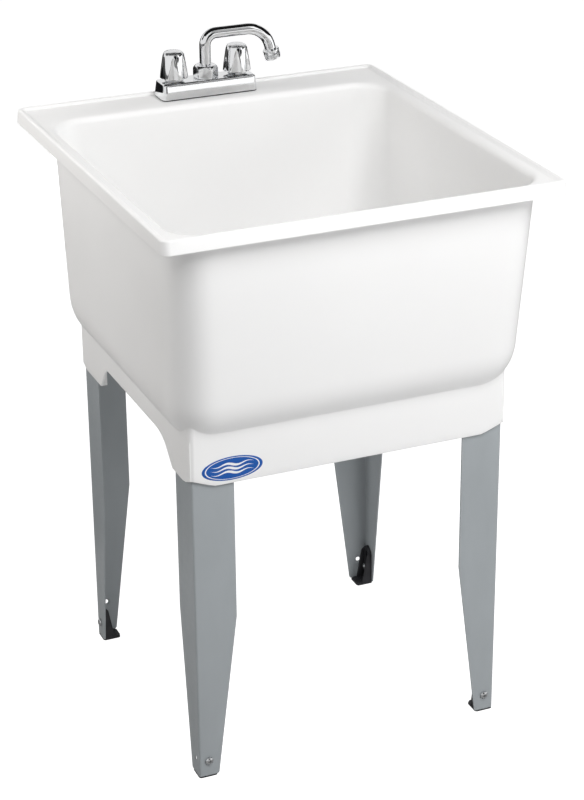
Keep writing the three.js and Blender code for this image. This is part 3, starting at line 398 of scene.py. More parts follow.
tubLow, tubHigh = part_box("tub")
tub = {
    "rimCorner": 0.014,
    "lipHeight": 0.020,
    "lipDraft": 0.0025,
    "lipWall": 0.005,
    "lipRound": 0.0055,
    "crestDrop": 0.004,
    "crestSlope": 0.0035,
    "deckThickness": 0.005,
    "rimSide": 0.028,
    "rimFront": 0.0215,
    "rimBack": 0.0815,
    "wall": 0.005,
    "depth": 0.320,
    "corner": 0.047,
    "sideDraft": math.radians(1.3),
    "frontDraft": math.radians(5.8),
    "backDraft": math.radians(2.8),
    "fillet": 0.070,
    "edgeRound": 0.009,
    "floorFall": 0.005,
    "tightening": 0.5,
    "outerFullness": 2.3,
    "outerTightening": 0.6,
    "drainSeat": 0.042,
    "drainSeatDepth": 0.003,
    "drainHole": 0.0223,
    "skirtStep": 0.0234,
    "skirtStepBack": 0.0174,
    "skirtCorner": 0.009,
    "skirtWall": 0.0037,
    "skirtHang": 0.062,
    "skirtBlend": 0.0018,
    "tabRise": 0.004,
    "archHeight": 0.0415,
    "frontTab": 0.067,
    "rearTab": 0.090,
    "archRunFront": 0.048,
    "archRunRear": 0.036,
    "cornerCutX": 0.036,
    "cornerCutY": 0.031,
    "cornerCutRise": 0.014,
    "socketWall": 0.004,
    "legFlange": 0.062,
    "legSheet": 0.002,
    "fitGap": 0.0003,
    "slotReach": 0.01,
    "faucetHole": 0.0142,
    "holeEdge": 0.0005,
    "dishMargin": 0.006,
    "dishLift": 0.0002,
    "crestEdge": 0.0005,
    "deckReach": 0.004,
    "wallRoot": 0.004,
    "lowerSweep": math.radians(46),
    "skirtEdge": 0.0011,
    "skirtInnerBlend": 0.003,
    "underStart": 0.08,
    "cornerSteps": 12,
    "endSteps": 48,
    "armSteps": 24,
    "dishRings": 10,
    "filletRings": 16,
    "wallRings": 14,
    "edgeRings": 8,
    "deckRings": 7,
    "underRings": 5,
    "rootRings": 4,
    "curveRings": 14,
    "blendRings": 5,
    "skirtRings": 7,
    "innerBlendRings": 4,
    "floorRings": 10,
    "bossRings": 8,
}

rimHalfX = tubHigh.x
rimHalfY = tubHigh.y
rimTop = tubHigh.z
deckTop = rimTop - tub["crestDrop"]
deckUnder = deckTop - tub["deckThickness"]
lipBottom = rimTop - tub["lipHeight"]
floorTop = deckTop - tub["depth"]
filletCentre = floorTop + tub["fillet"]
drainFloor = floorTop - tub["floorFall"]
drainRest = drainFloor - tub["drainSeatDepth"]
drainUnder = drainRest - tub["wall"]


# sides of the bowl's wall at height z, moved outward by offset
def bowlSides(z, offset, flare=0.0):
    fall = deckTop - z
    radius = tub["fillet"] + offset
    drop = np.clip(filletCentre - z, 0, radius)
    fullness, tightening = 2, tub["tightening"]
    if offset:
        fullness, tightening = tub["outerFullness"], tub["outerTightening"]
    inset = radius - (radius ** fullness - drop ** fullness) ** (1 / fullness)
    grow = offset + flare - inset
    right = rimHalfX - tub["rimSide"] - fall * math.tan(tub["sideDraft"]) + grow
    front = -(rimHalfY - tub["rimFront"] - fall * math.tan(tub["frontDraft"]) + grow)
    back = rimHalfY - tub["rimBack"] - fall * math.tan(tub["backDraft"]) + grow
    corner = tub["corner"] + offset + flare + fall * math.tan(tub["sideDraft"]) - inset * tightening
    return -right, right, front, back, corner


wallFoot = bowlSides(filletCentre, tub["wall"])
skirtRight = wallFoot[1] - tub["skirtStep"]
skirtFront = wallFoot[2] + tub["skirtStep"]
skirtBack = wallFoot[3] - tub["skirtStepBack"]
skirtBottom = floorTop - tub["skirtHang"]
archLow = skirtBottom + tub["tabRise"]
archHigh = skirtBottom + tub["archHeight"]
archStart = skirtFront + tub["frontTab"]
archEnd = skirtBack - tub["rearTab"]


# lower edge of the skirt's side at depth y
def archEdge(y):
    if y <= archStart or y >= archEnd:
        return archLow
    reach = 1.5 * tub["archRunFront"]
    if y < archStart + reach:
        low, high = 0.0, 1.0
        for _ in range(30):
            t = (low + high) / 2
            at = 3 * (1 - t) ** 2 * t * 0.45 * tub["archRunFront"]
            at += 3 * (1 - t) * t ** 2 * 0.55 * tub["archRunFront"]
            at += t ** 3 * reach
            if archStart + at < y:
                low = t
            else:
                high = t
        rise = tub["archHeight"] * 0.42
        top = archHigh - archLow
        return archLow + 3 * (1 - t) ** 2 * t * rise + (3 * (1 - t) * t ** 2 + t ** 3) * top
    run = tub["archRunRear"]
    if y < archEnd - run:
        return archHigh
    bend = archHigh - run * 0.22
    if y < archEnd - run * 0.6:
        t = (y - archEnd + run) / (run * 0.4)
        return archHigh + (bend - archHigh) * t ** 2
    t = (y - archEnd + run * 0.6) / (run * 0.6)
    return bend + (archLow - bend) * t


# where along a side the loop's points go: close together at the ends of the arch
def depthShares():
    low = skirtFront + tub["skirtCorner"]
    high = skirtBack - tub["skirtCorner"]
    rowSpans = [(low, archStart - 0.002, 0.009), (archStart - 0.002, archStart + 0.004, 0.0015),
                (archStart + 0.004, archStart + 0.075, 0.004), (archStart + 0.075, archEnd - 0.038, 0.011),
                (archEnd - 0.038, archEnd - 0.004, 0.003), (archEnd - 0.004, archEnd + 0.002, 0.0015),
                (archEnd + 0.002, high, 0.009)]
    shares = []
    for a, b, step in rowSpans:
        count = max(1, round((b - a) / step))
        shares += [(a + (b - a) * k / count - low) / (high - low) for k in range(count)]
    return shares + [1.0]


sideShares = depthShares()
endShares = [k / tub["endSteps"] for k in range(tub["endSteps"] + 1)]


# rounded rectangle as an N x 2 array that starts at the right rear corner and runs counter-clockwise
def roundedLoop(left, right, front, back, corner):
    centres = [(right - corner, back - corner), (left + corner, back - corner),
               (left + corner, front + corner), (right - corner, front + corner)]
    points = []
    for quarter, (cx, cy) in enumerate(centres):
        for k in range(tub["cornerSteps"] + 1):
            angle = (quarter + k / tub["cornerSteps"]) * math.pi / 2
            points.append((cx + corner * math.cos(angle), cy + corner * math.sin(angle)))
        start = np.array(points[-1])
        nextCentre = np.array(centres[(quarter + 1) % 4])
        turn = (quarter + 1) * math.pi / 2
        end = nextCentre + corner * np.array((math.cos(turn), math.sin(turn)))
        if quarter in (0, 2):
            shares = endShares[1:-1]
        elif quarter == 1:
            shares = [1 - s for s in reversed(sideShares[1:-1])]
        else:
            shares = sideShares[1:-1]
        points += [tuple(start + (end - start) * s) for s in shares]
    return np.array(points)


def bowlLoop(z, offset, flare=0.0):
    return roundedLoop(*[float(v) for v in bowlSides(z, offset, flare)])


def rimLoop(inset):
    corner = max(tub["rimCorner"] - inset, 0.003)
    return roundedLoop(-rimHalfX + inset, rimHalfX - inset, -rimHalfY + inset, rimHalfY - inset, corner)


def skirtLoop(inset):
    corner = max(tub["skirtCorner"] - inset, 0.002)
    return roundedLoop(-skirtRight + inset, skirtRight - inset, skirtFront + inset, skirtBack - inset, corner)


# height of the bowl's outer skin over each plan point, found by halving
def outerHeight(plan):
    low = np.full(len(plan), filletCentre - tub["fillet"] - tub["wall"])
    high = np.full(len(plan), filletCentre)
    for _ in range(36):
        z = (low + high) / 2
        left, right, front, back, corner = bowlSides(z, tub["wall"])
        halfX = (right - left) / 2
        halfY = (back - front) / 2
        qx = np.abs(plan[:, 0]) - halfX + corner
        qy = np.abs(plan[:, 1] - (front + back) / 2) - halfY + corner
        outside = np.hypot(np.maximum(qx, 0), np.maximum(qy, 0)) + np.minimum(np.maximum(qx, qy), 0) - corner
        high = np.where(outside < 0, z, high)
        low = np.where(outside < 0, low, z)
    return (low + high) / 2


def skirtEdge(plan):
    heights = []
    for x, y in plan:
        u = skirtRight - abs(x)
        v = (y - skirtFront) if y < 0 else (skirtBack - y)
        onSide = u < tub["skirtWall"] and v > tub["skirtCorner"]
        base = archEdge(y) if onSide else skirtBottom
        cutX, cutY = max(u, 0) / tub["cornerCutX"], max(v, 0) / tub["cornerCutY"]
        cut = skirtBottom + tub["cornerCutRise"] * (1 - cutX - cutY)
        heights.append(max(base, cut))
    return np.array(heights)


def ring(plan, z):
    return np.column_stack([plan, np.broadcast_to(z, len(plan))])


# evenly spaced rings from one ring to another, without the first
def between(first, last, count):
    return [first + (last - first) * k / count for k in range(1, count + 1)]


# rings that leave one ring and reach another with a soft turn at the corner
def roundOver(first, corner, last, count):
    shares = [k / count for k in range(1, count + 1)]
    return [first * (1 - t) ** 2 + corner * (2 * t * (1 - t)) + last * t ** 2 for t in shares]


def wallRings(start, end, offset):
    count = tub["wallRings"]
    levels = [start + (end - start) * k / count for k in range(1, count + 1)]
    return [ring(bowlLoop(z, offset), z) for z in levels]


# from the drain's seat over the floor and up the inside of the bowl
def bowlRings(circle, floorLoop):
    hole, seat, lift = tub["drainHole"], tub["drainSeat"], tub["dishLift"]
    margin = seat + tub["dishMargin"]
    path = [(hole, drainUnder + tub["holeEdge"], 0), (hole, drainRest, 0.0008), (seat, drainRest, 0.001),
            (seat, drainFloor, 0.0012), (margin, drainFloor + lift, 0)]
    rings = [ring(circle(p.x), p.y) for p in softPath(path, 3)]
    dish = circle(margin)
    for k in range(1, tub["dishRings"] + 1):
        t = k / tub["dishRings"]
        height = drainFloor + lift + (tub["floorFall"] - lift) * math.sin(t * math.pi / 2)
        rings.append(ring(dish + (floorLoop - dish) * t, height))
    for k in range(1, tub["filletRings"] + 1):
        z = filletCentre - tub["fillet"] * math.cos(k / tub["filletRings"] * math.pi / 2)
        rings.append(ring(bowlLoop(z, 0), z))
    wallTop = deckTop - tub["edgeRound"]
    rings += wallRings(filletCentre, wallTop, 0)
    for k in range(1, tub["edgeRings"] + 1):
        angle = k / tub["edgeRings"] * math.pi / 2
        z = wallTop + tub["edgeRound"] * math.sin(angle)
        rings.append(ring(bowlLoop(z, 0, tub["edgeRound"] * (1 - math.cos(angle))), z))
    return rings


# over the deck, around the crest and the hanging lip, and back under the deck
def rimRings(inner):
    crest = tub["lipDraft"] + tub["lipRound"] + tub["crestEdge"]
    crestFoot = crest + tub["crestSlope"]
    deckEdge = crestFoot + tub["deckReach"]
    lipTurn = tub["lipDraft"] + tub["lipWall"]
    path = [(deckEdge, deckTop, 0), (crestFoot, deckTop, 0.0036), (crest, rimTop, 0.0026),
            (tub["lipDraft"], rimTop, tub["lipRound"]), (0, lipBottom, 0.0012),
            (tub["lipWall"], lipBottom, 0.0012), (lipTurn, deckUnder, 0.003),
            (lipTurn + tub["deckReach"], deckUnder, 0)]
    rings = between(ring(inner, deckTop), ring(rimLoop(deckEdge), deckTop), tub["deckRings"])
    return rings + [ring(rimLoop(p.x), p.y) for p in softPath(path, 6)[1:]]


# along the deck's underside and down the outside of the bowl
def outerRings(under):
    wall, root = tub["wall"], tub["wallRoot"]
    wallTop = ring(bowlLoop(deckUnder, wall, root), deckUnder)
    rings = between(ring(under, deckUnder), wallTop, tub["underRings"])
    for k in range(1, tub["rootRings"] + 1):
        angle = k / tub["rootRings"] * math.pi / 2
        z = deckUnder - root * (1 - math.cos(angle))
        rings.append(ring(bowlLoop(z, wall, root * (1 - math.sin(angle))), z))
    return rings + wallRings(deckUnder - root, filletCentre, wall)


# the bowl's lower curve, then down the skirt, around its edge and up its inside
def skirtRings(wallLoop, skirtOut, skirtIn):
    meetOut, meetIn = outerHeight(skirtOut), outerHeight(skirtIn)
    edge = skirtEdge(skirtOut)
    blend, edgeRound, wall = tub["skirtBlend"], tub["skirtEdge"], tub["skirtWall"]
    sweep, count = tub["lowerSweep"], tub["curveRings"]
    lastShare = 1 - blend / tub["skirtStep"]
    rings = []
    for k in range(1, count + 1):
        share = lastShare * (1 - math.cos(sweep * k / count)) / (1 - math.cos(sweep))
        plan = wallLoop + (skirtOut - wallLoop) * share
        rings.append(ring(plan, outerHeight(plan)))
    rings += roundOver(rings[-1], ring(skirtOut, meetOut), ring(skirtOut, meetOut - blend), tub["blendRings"])
    rings += between(rings[-1], ring(skirtOut, edge + edgeRound), tub["skirtRings"])
    turns = [(0.2, 0.35), (0.55, 0.08), (1.0, 0.0)]
    rings += [ring(skirtLoop(edgeRound * inset), edge + edgeRound * rise) for inset, rise in turns]
    turns = turns[::-1] + [(0.0, 1.0)]
    rings += [ring(skirtLoop(wall - edgeRound * inset), edge + edgeRound * rise) for inset, rise in turns]
    return rings + between(rings[-1], ring(skirtIn, meetIn - tub["skirtInnerBlend"]), tub["skirtRings"])


# from the skirt's inside along the bowl's underside to the boss around the drain
def undersideRings(circle, skirtIn, first):
    floorUnder = bowlLoop(floorTop - tub["wall"], tub["wall"])

    def along(share):
        plan = skirtIn + (floorUnder - skirtIn) * share
        return ring(plan, outerHeight(plan))

    start, count = tub["underStart"], tub["floorRings"]
    rings = roundOver(first, ring(skirtIn, outerHeight(skirtIn)), along(start), tub["innerBlendRings"])
    rings += [along(start + (1 - start) * k / count) for k in range(1, count + 1)]
    hole, wall = tub["drainHole"], tub["wall"]
    seat = tub["drainSeat"] + wall
    boss = circle(seat + wall)
    for k in range(1, tub["bossRings"] + 1):
        t = k / tub["bossRings"]
        z = floorTop - wall - tub["floorFall"] * (1 - math.cos(t * math.pi / 2))
        rings.append(ring(floorUnder + (boss - floorUnder) * t, z))
    path = [(seat + wall, drainFloor - wall, 0), (seat, drainUnder, 0.002), (hole, drainUnder, 0.0006),
            (hole, drainUnder + tub["holeEdge"], 0)]
    return rings + [ring(circle(p.x), p.y) for p in softPath(path, 3)[1:-1]]


def makeTub():
    floorLoop = bowlLoop(floorTop, 0)
    centre = np.array((0, (floorLoop[:, 1].min() + floorLoop[:, 1].max()) / 2))
    outward = floorLoop - centre
    outward /= np.linalg.norm(outward, axis=1)[:, None]

    def circle(radius):
        return centre + outward * radius

    skirtOut, skirtIn = skirtLoop(0), skirtLoop(tub["skirtWall"])
    rings = bowlRings(circle, floorLoop)
    rings += rimRings(rings[-1][:, :2])
    rings += outerRings(rings[-1][:, :2])
    rings += skirtRings(rings[-1][:, :2], skirtOut, skirtIn)
    rings += undersideRings(circle, skirtIn, rings[-1])
    points = np.concatenate(rings)
    piece = addMesh("tub_shell", points, ringFaces(len(rings), len(floorLoop), wrap=True), tubPlastic)
    faceOutward(piece)

    # holes let the faucet's shanks through the deck; leg sockets hang in the corners and open downwards
    holes = []
    for x in valveX.values():
        place = Matrix.Translation((x, faucetY, 0))
        holes.append(cylinderTool(tub["faucetHole"], deckUnder - through, deckTop + through, 48, place))
    cutAndJoin(piece, holes)
    cutAndJoin(piece, [makeSocket(sx, sy) for sx in (-1, 1) for sy in (-1, 1)], "UNION")
    refinish(piece, tubPlastic, 40)
    return dress(piece, "tub", "tub", "tub")


# an L-shaped pocket in one corner of the skirt, cut along the skirt's lower edge
def makeSocket(sx, sy):
    gap = tub["fitGap"]
    wall = tub["skirtWall"]
    slotWide = tub["legSheet"] + gap
    deep = slotWide + tub["socketWall"]
    armX = tub["legFlange"] + gap + tub["socketWall"]
    armY = armX if sy < 0 else tub["rearTab"] - wall - gap
    cornerX = sx * (skirtRight - wall - gap)
    cornerY = (skirtFront + wall + gap) if sy < 0 else (skirtBack - wall - gap)
    tips = ((armX, deep), (deep, armY), (deep, deep))
    heights = outerHeight(np.array([(cornerX - sx * u, cornerY - sy * v) for u, v in tips]))
    top = heights.min() + tub["wall"] * 0.6

    def at(u, v, z):
        return (cornerX - sx * u, cornerY - sy * v, z)

    outer = -gap - wall * 0.5
    plan = [(outer, outer), (armX, outer), (armX, deep), (deep, deep)]
    steps = tub["armSteps"]
    arm = [deep + (armY - deep) * k / steps for k in range(1, steps + 1)]
    inside = [(deep, v) for v in arm]
    outside = [(outer, v) for v in reversed(arm)]
    loop = plan + inside + outside
    base = []
    for u, v in loop:
        y = cornerY - sy * v
        height = skirtBottom + tub["tabRise"]
        if v > deep and u <= deep:
            height = max(height, archEdge(y))
        x = abs(cornerX - sx * u)
        cutX = max(skirtRight - x, 0) / tub["cornerCutX"]
        cutY = max((y - skirtFront) if sy < 0 else (skirtBack - y), 0) / tub["cornerCutY"]
        base.append(max(height, skirtBottom + tub["cornerCutRise"] * (1 - cutX - cutY)))
    count = len(loop)
    points = [at(u, v, z) for (u, v), z in zip(loop, base)] + [at(u, v, top) for u, v in loop]
    faces = [(i, (i + 1) % count, count + (i + 1) % count, count + i) for i in range(count)]
    # caps: the short arm as one face, the long arm as a strip
    for level in (0, count):
        faces.append(tuple(level + k for k in (0, 1, 2, 3)))
        chainIn = list(range(3, 4 + steps))
        chainOut = [0] + list(range(count - 1, 3 + steps, -1))
        for k in range(steps):
            faces.append(tuple(level + v for v in (chainIn[k], chainIn[k + 1], chainOut[k + 1], chainOut[k])))
    socket = addMesh("socket", points, faces, tubPlastic)
    faceOutward(socket)
    slotArm = tub["legFlange"] + gap
    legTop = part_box("leg_front_left")[1].z
    slot = [(-gap, -gap), (slotArm, -gap), (slotArm, slotWide), (slotWide, slotWide), (slotWide, slotArm),
            (-gap, slotArm)]
    size = len(slot)
    points = [at(u, v, z) for z in (skirtBottom - tub["slotReach"], legTop + gap) for u, v in slot]
    faces = [(i, (i + 1) % size, size + (i + 1) % size, size + i) for i in range(size)]
    for level in (0, size):
        faces += [tuple(level + k for k in (0, 1, 2, 3)), tuple(level + k for k in (0, 3, 4, 5))]
    tool = addMesh("slot", points, faces)
    faceOutward(tool)
    return cutAndJoin(socket, [tool])


# legs

leg = {
    "sheet": 0.002,
    "bend": 0.003,
    "flange": 0.062,
    "toe": 0.030,
    "kink": 0.254,
    "toeRound": 0.003,
    "toeDrop": 0.0046,
    "hole": 0.0034,
    "holeSpread": 0.006,
    "screwHeight": 0.027,
    "footCentre": 0.015,
    "edge": 0.00035,
}

# name, turn in quarters, flange its foot is screwed to, height of the spare hole
legPlaces = [
    ("front_left", 0, "first", 0.027),
    ("front_right", 1, "second", 0.027),
    ("rear_right", 2, "second", 0.035),
    ("rear_left", 3, "first", 0.054),
]


def cornerMatrix(name, quarter):
    low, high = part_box("leg_" + name)
    x = low.x if "left" in name else high.x
    y = low.y if "front" in name else high.y
    return Matrix.Translation((x, y, 0)) @ Matrix.Rotation(quarter * math.pi / 2, 4, "Z")


def flangeWidth(z, bottom):
    width = leg["flange"]
    if z < leg["kink"]:
        width = leg["toe"] + (leg["flange"] - leg["toe"]) * (z - bottom) / (leg["kink"] - bottom)
    rise = z - bottom
    if rise < leg["toeRound"]:
        width -= leg["toeRound"] - math.sqrt(leg["toeRound"] ** 2 - (leg["toeRound"] - rise) ** 2)
    return width


def makeLeg(name, quarter, screwFlange, spareHeight):
    low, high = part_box("leg_" + name)
    bottom = low.z - leg["toeDrop"]
    toeLevels = [bottom + leg["toeRound"] * (1 - math.cos(k / 8 * math.pi / 2)) for k in range(9)]
    lower = [toeLevels[-1] + (leg["kink"] - toeLevels[-1]) * k / 12 for k in range(1, 13)]
    upper = [leg["kink"] + (high.z - leg["kink"]) * k / 12 for k in range(1, 13)]
    levels = toeLevels + lower + upper
    bend, sheet = leg["bend"], leg["sheet"]
    rings = []
    for z in levels:
        width = flangeWidth(z, bottom)
        outline = [(width, sheet), (width, 0)]
        outline += arcPoints((bend, bend), bend, 270, 180, 8)
        outline += [(0, width), (sheet, width)]
        outline += arcPoints((bend, bend), bend - sheet, 180, 270, 5)
        rings.append([(a, b, z) for a, b in outline])
    size = len(rings[0])
    points = [p for r in rings for p in r]
    faces = ringFaces(len(rings), size)
    # each end is closed by a strip along the sheet's thickness
    outside = list(range(1, 12))
    inside = [0] + list(range(size - 1, 12, -1)) + [12]
    strip = len(outside)
    for level in (0, (len(rings) - 1) * size):
        step = (len(inside) - 1) / (strip - 1)
        for k in range(strip - 1):
            a, b = round(k * step), round((k + 1) * step)
            quad = [outside[k], outside[k + 1], inside[b]] + ([inside[a]] if a != b else [])
            faces.append(tuple(level + v for v in quad))
    piece = addMesh("leg_skin_" + name, points, faces, legPaint)
    faceOutward(piece)
    along = leg["footCentre"]
    drillFirst = Matrix.Translation((along, 0, 0)) @ Matrix.Rotation(-math.pi / 2, 4, "X")
    drillSecond = Matrix.Translation((0, along, 0)) @ Matrix.Rotation(math.pi / 2, 4, "Y")
    # the screw's hole first, then the spare one, which widens inwards
    drills = (drillFirst, drillSecond) if screwFlange == "first" else (drillSecond, drillFirst)
    heights = (leg["screwHeight"], spareHeight)
    holes = []
    for drill, height, spread in zip(drills, heights, (0, leg["holeSpread"])):
        place = Matrix.Translation((0, 0, height)) @ drill
        holes.append(cylinderTool(leg["hole"], -through, leg["sheet"] + through, 32, place, spread))
    cutAndJoin(piece, holes)
    softenEdges(piece, leg["edge"], 2, 50)
    refinish(piece, legPaint, 30)
    moveMesh(piece, cornerMatrix(name, quarter))
    return dress(piece, "tub", "leg", "leg_" + name)


# levelling feet with their screws and nuts

foot = {
    "pad": 0.028,
    "padThickness": 0.004,
    "padRim": 0.0014,
    "padCorner": 0.004,
    "padGap": 0.0006,
    "width": 0.0248,
    "plate": 0.003,
    "rib": 0.0025,
    "ribTop": 0.006,
    "ribFoot": 0.016,
    "shoulder": 0.0569,
    "crown": 0.009,
    "travel": 0.025,
    "slot": 0.0034,
    "edge": 0.0005,
    "gap": 0.0003,
    "screwHead": 0.012,
    "screwHeadHeight": 0.004,
    "screwDiameter": 0.006,
    "nutFlats": 0.010,
    "nutThickness": 0.005,
}


def uprightPlate(name, outline, depth, holes=()):
    piece = plateMesh(name, outline, depth, footPlastic, holes)
    return moveMesh(piece, Matrix.Translation((0, depth, 0)) @ Matrix.Rotation(math.pi / 2, 4, "X"))


def makeFoot(name, quarter, screwFlange):
    half = foot["width"] / 2
    screwZ = leg["screwHeight"]
    sunk = foot["padThickness"] / 2
    shoulder = foot["shoulder"]
    crown = [(half, shoulder, 0.003), (0.0, shoulder + foot["crown"], 0.004), (-half, shoulder, 0.003)]
    ends = [(-half, sunk, 0), (half, sunk, 0)]
    outline = [tuple(p) for p in softPath(ends + crown, 5, True)]
    slot = arcPoints((0, screwZ), foot["slot"], 180, 360, 16)
    slot += arcPoints((0, screwZ + foot["travel"]), foot["slot"], 0, 180, 16)
    plate = uprightPlate("plate", outline, foot["plate"], [slot])
    rib = [(0.0005, sunk, 0), (foot["ribFoot"], sunk, 0), (foot["ribTop"] + 0.001, shoulder - 0.004, 0.006),
           (foot["plate"] - 0.0005, shoulder - 0.0005, 0.002), (0.0005, shoulder - 0.0015, 0)]
    ribOutline = [tuple(p) for p in softPath(rib, 6, True)]
    parts = []
    for x in (-half, half - foot["rib"]):
        side = plateMesh("rib", ribOutline, foot["rib"], footPlastic)
        turn = Matrix.Rotation(math.pi / 2, 4, "Z") @ Matrix.Rotation(math.pi / 2, 4, "X")
        parts.append(moveMesh(side, Matrix.Translation((x, 0, 0)) @ turn))
    edgeY = -(leg["sheet"] + foot["gap"])
    left = -leg["footCentre"] if screwFlange == "first" else leg["footCentre"] - foot["pad"]
    right, front, back = left + foot["pad"], edgeY, edgeY + foot["pad"]
    r = foot["padCorner"]
    centres = [(right - r, back - r), (left + r, back - r), (left + r, front + r), (right - r, front + r)]
    padLoop = []
    for turn, centre in enumerate(centres):
        padLoop += arcPoints(centre, r, turn * 90, turn * 90 + 90, 8)
    pad = plateMesh("pad", padLoop, foot["padRim"], footPlastic)
    # the pad is thick only inside the leg's fold
    inset = leg["sheet"] + foot["padGap"]
    if screwFlange == "first":
        left += inset
    else:
        right -= inset
    front += inset
    coreLoop = [(right, front), (right, back - r), (right - r, back), (left + r, back), (left, back - r),
                (left, front)]
    core = plateMesh("core", coreLoop, foot["padThickness"], footPlastic)
    piece = cutAndJoin(pad, [core, plate, *parts], "UNION")
    piece.name = "foot_skin_" + name
    softenEdges(piece, foot["edge"], 3, 40)
    refinish(piece, footPlastic, 40)
    behindSheet = Matrix.Translation((0, leg["sheet"] + foot["gap"], 0))
    moveMesh(piece, footMatrix(name, quarter, screwFlange) @ behindSheet)
    return dress(piece, "foot_" + name, "black", "foot_" + name)


def footMatrix(name, quarter, screwFlange):
    along = leg["footCentre"]
    if screwFlange == "first":
        local = Matrix.Translation((along, 0, 0))
    else:
        local = Matrix.Translation((0, along, 0)) @ Matrix.Rotation(-math.pi / 2, 4, "Z")
    return cornerMatrix(name, quarter) @ local


def crossRecess(reach, width, top, depth):
    outline = [(width, width), (reach, width), (reach, -width)]
    for _ in range(9):
        a, b = outline[-3]
        outline.append((b, -a))
    count = len(outline)
    points = [(a * 0.35, b * 0.35, depth) for a, b in outline] + [(a, b, top) for a, b in outline]
    faces = [(i, (i + 1) % count, count + (i + 1) % count, count + i) for i in range(count)]
    faces += [tuple(range(count - 1, -1, -1)), tuple(range(count, 2 * count))]
    tool = addMesh("recess", points, faces)
    faceOutward(tool)
    return tool


# a pan-head screw along +Z with its head below zero
def makeScrew(name, diameter, length, head, headHeight, material, pitch=0.001):
    shaft = diameter / 2
    path = [(0, -headHeight, 0), (head * 0.3, -headHeight * 0.95, 0.0015),
            (head / 2, -headHeight * 0.45, 0.0016), (head / 2, 0, 0.0003), (shaft, 0, 0.0003)]
    turns = int((length - 0.002) / pitch)
    for k in range(turns):
        z = 0.001 + k * pitch
        path += [(shaft - 0.0004, z, 0.0001), (shaft, z + pitch / 2, 0.0001)]
    path += [(shaft - 0.0005, length - 0.0006, 0.0003), (shaft - 0.0012, length, 0.0003), (0, length, 0)]
    screw = latheMesh(name, path, material, 40, softSteps=3)
    recess = crossRecess(head * 0.27, head * 0.05, -headHeight - 0.0005, -headHeight * 0.3)
    cutAndJoin(screw, [recess])
    refinish(screw, material, 34)
    return screw


# a hexagon nut between two heights with domed corners
def makeHexNut(name, flats, bore, low, high, material, dome=0.35, bottomDome=None):
    corner = flats / math.sqrt(3)
    blankHigh = (corner - flats / 2) * dome * 2.2
    blankLow = blankHigh if bottomDome is None else bottomDome
    path = [(0, low, 0), (flats / 2 * 0.97, low, 0.0006), (corner + 0.0002, low + blankLow, 0.001),
            (corner + 0.0002, high - blankHigh, 0.002), (flats / 2 * 0.94, high, 0.0012), (0, high, 0)]
    body = latheMesh("blank", path, material, 96)
    turns = [math.radians(60 * k) for k in range(6)]
    outline = [(corner * math.cos(turn), corner * math.sin(turn)) for turn in turns]
    hexBlock = plateMesh("hex", outline, high - low + 0.002, material)
    moveMesh(hexBlock, Matrix.Translation((0, 0, low - 0.001)))
    cutAndJoin(body, [hexBlock], "INTERSECT")
    cutAndJoin(body, [cylinderTool(bore / 2, low - 0.002, high + 0.002, 64)])
    body.name = name
    softenEdges(body, min(0.0004, flats * 0.02), 2, 28)
    refinish(body, material, 30)
    return body


def makeFootScrews():
    gap = foot["gap"]
    reach = leg["sheet"] + 2 * gap + foot["plate"]
    for name, quarter, screwFlange, _ in legPlaces:
        place = footMatrix(name, quarter, screwFlange) @ Matrix.Translation((0, 0, leg["screwHeight"]))
        turned = place @ Matrix.Rotation(-math.pi / 2, 4, "X")
        screw = makeScrew("screw_" + name, foot["screwDiameter"], reach + foot["nutThickness"] + 0.0015,
                          foot["screwHead"], foot["screwHeadHeight"], zinc)
        moveMesh(screw, turned @ Matrix.Translation((0, 0, -gap)))
        dress(screw, "tub", "zinc", "foot_screw_" + name)
        bore = foot["screwDiameter"] + gap
        nut = makeHexNut("nut_" + name, foot["nutFlats"], bore, 0, foot["nutThickness"], zinc)
        moveMesh(nut, turned @ Matrix.Translation((0, 0, reach)))
        dress(nut, "tub", "zinc", "foot_nut_" + name)


# drain

# moves a piece that was made about the Z axis over the middle of a node
def centreOver(piece, node):
    low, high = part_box(node)
    middle = (low + high) / 2
    return moveMesh(piece, Matrix.Translation((middle.x, middle.y, 0)))


def placeLathe(name, path, material, node, body, slot, steps=64, closed=False):
    piece = centreOver(latheMesh(name, path, material, steps, closed), node)
    return dress(piece, body, slot, node)


drain = {
    "bore": 0.018,
    "barrel": 0.022,
    "bar": 0.003,
    "barDepth": 0.013,
    "hub": 0.0075,
    "tail": 0.019,
    "tailWall": 0.0018,
    "soft": 0.0006,
    "threadPitch": 0.0022,
}


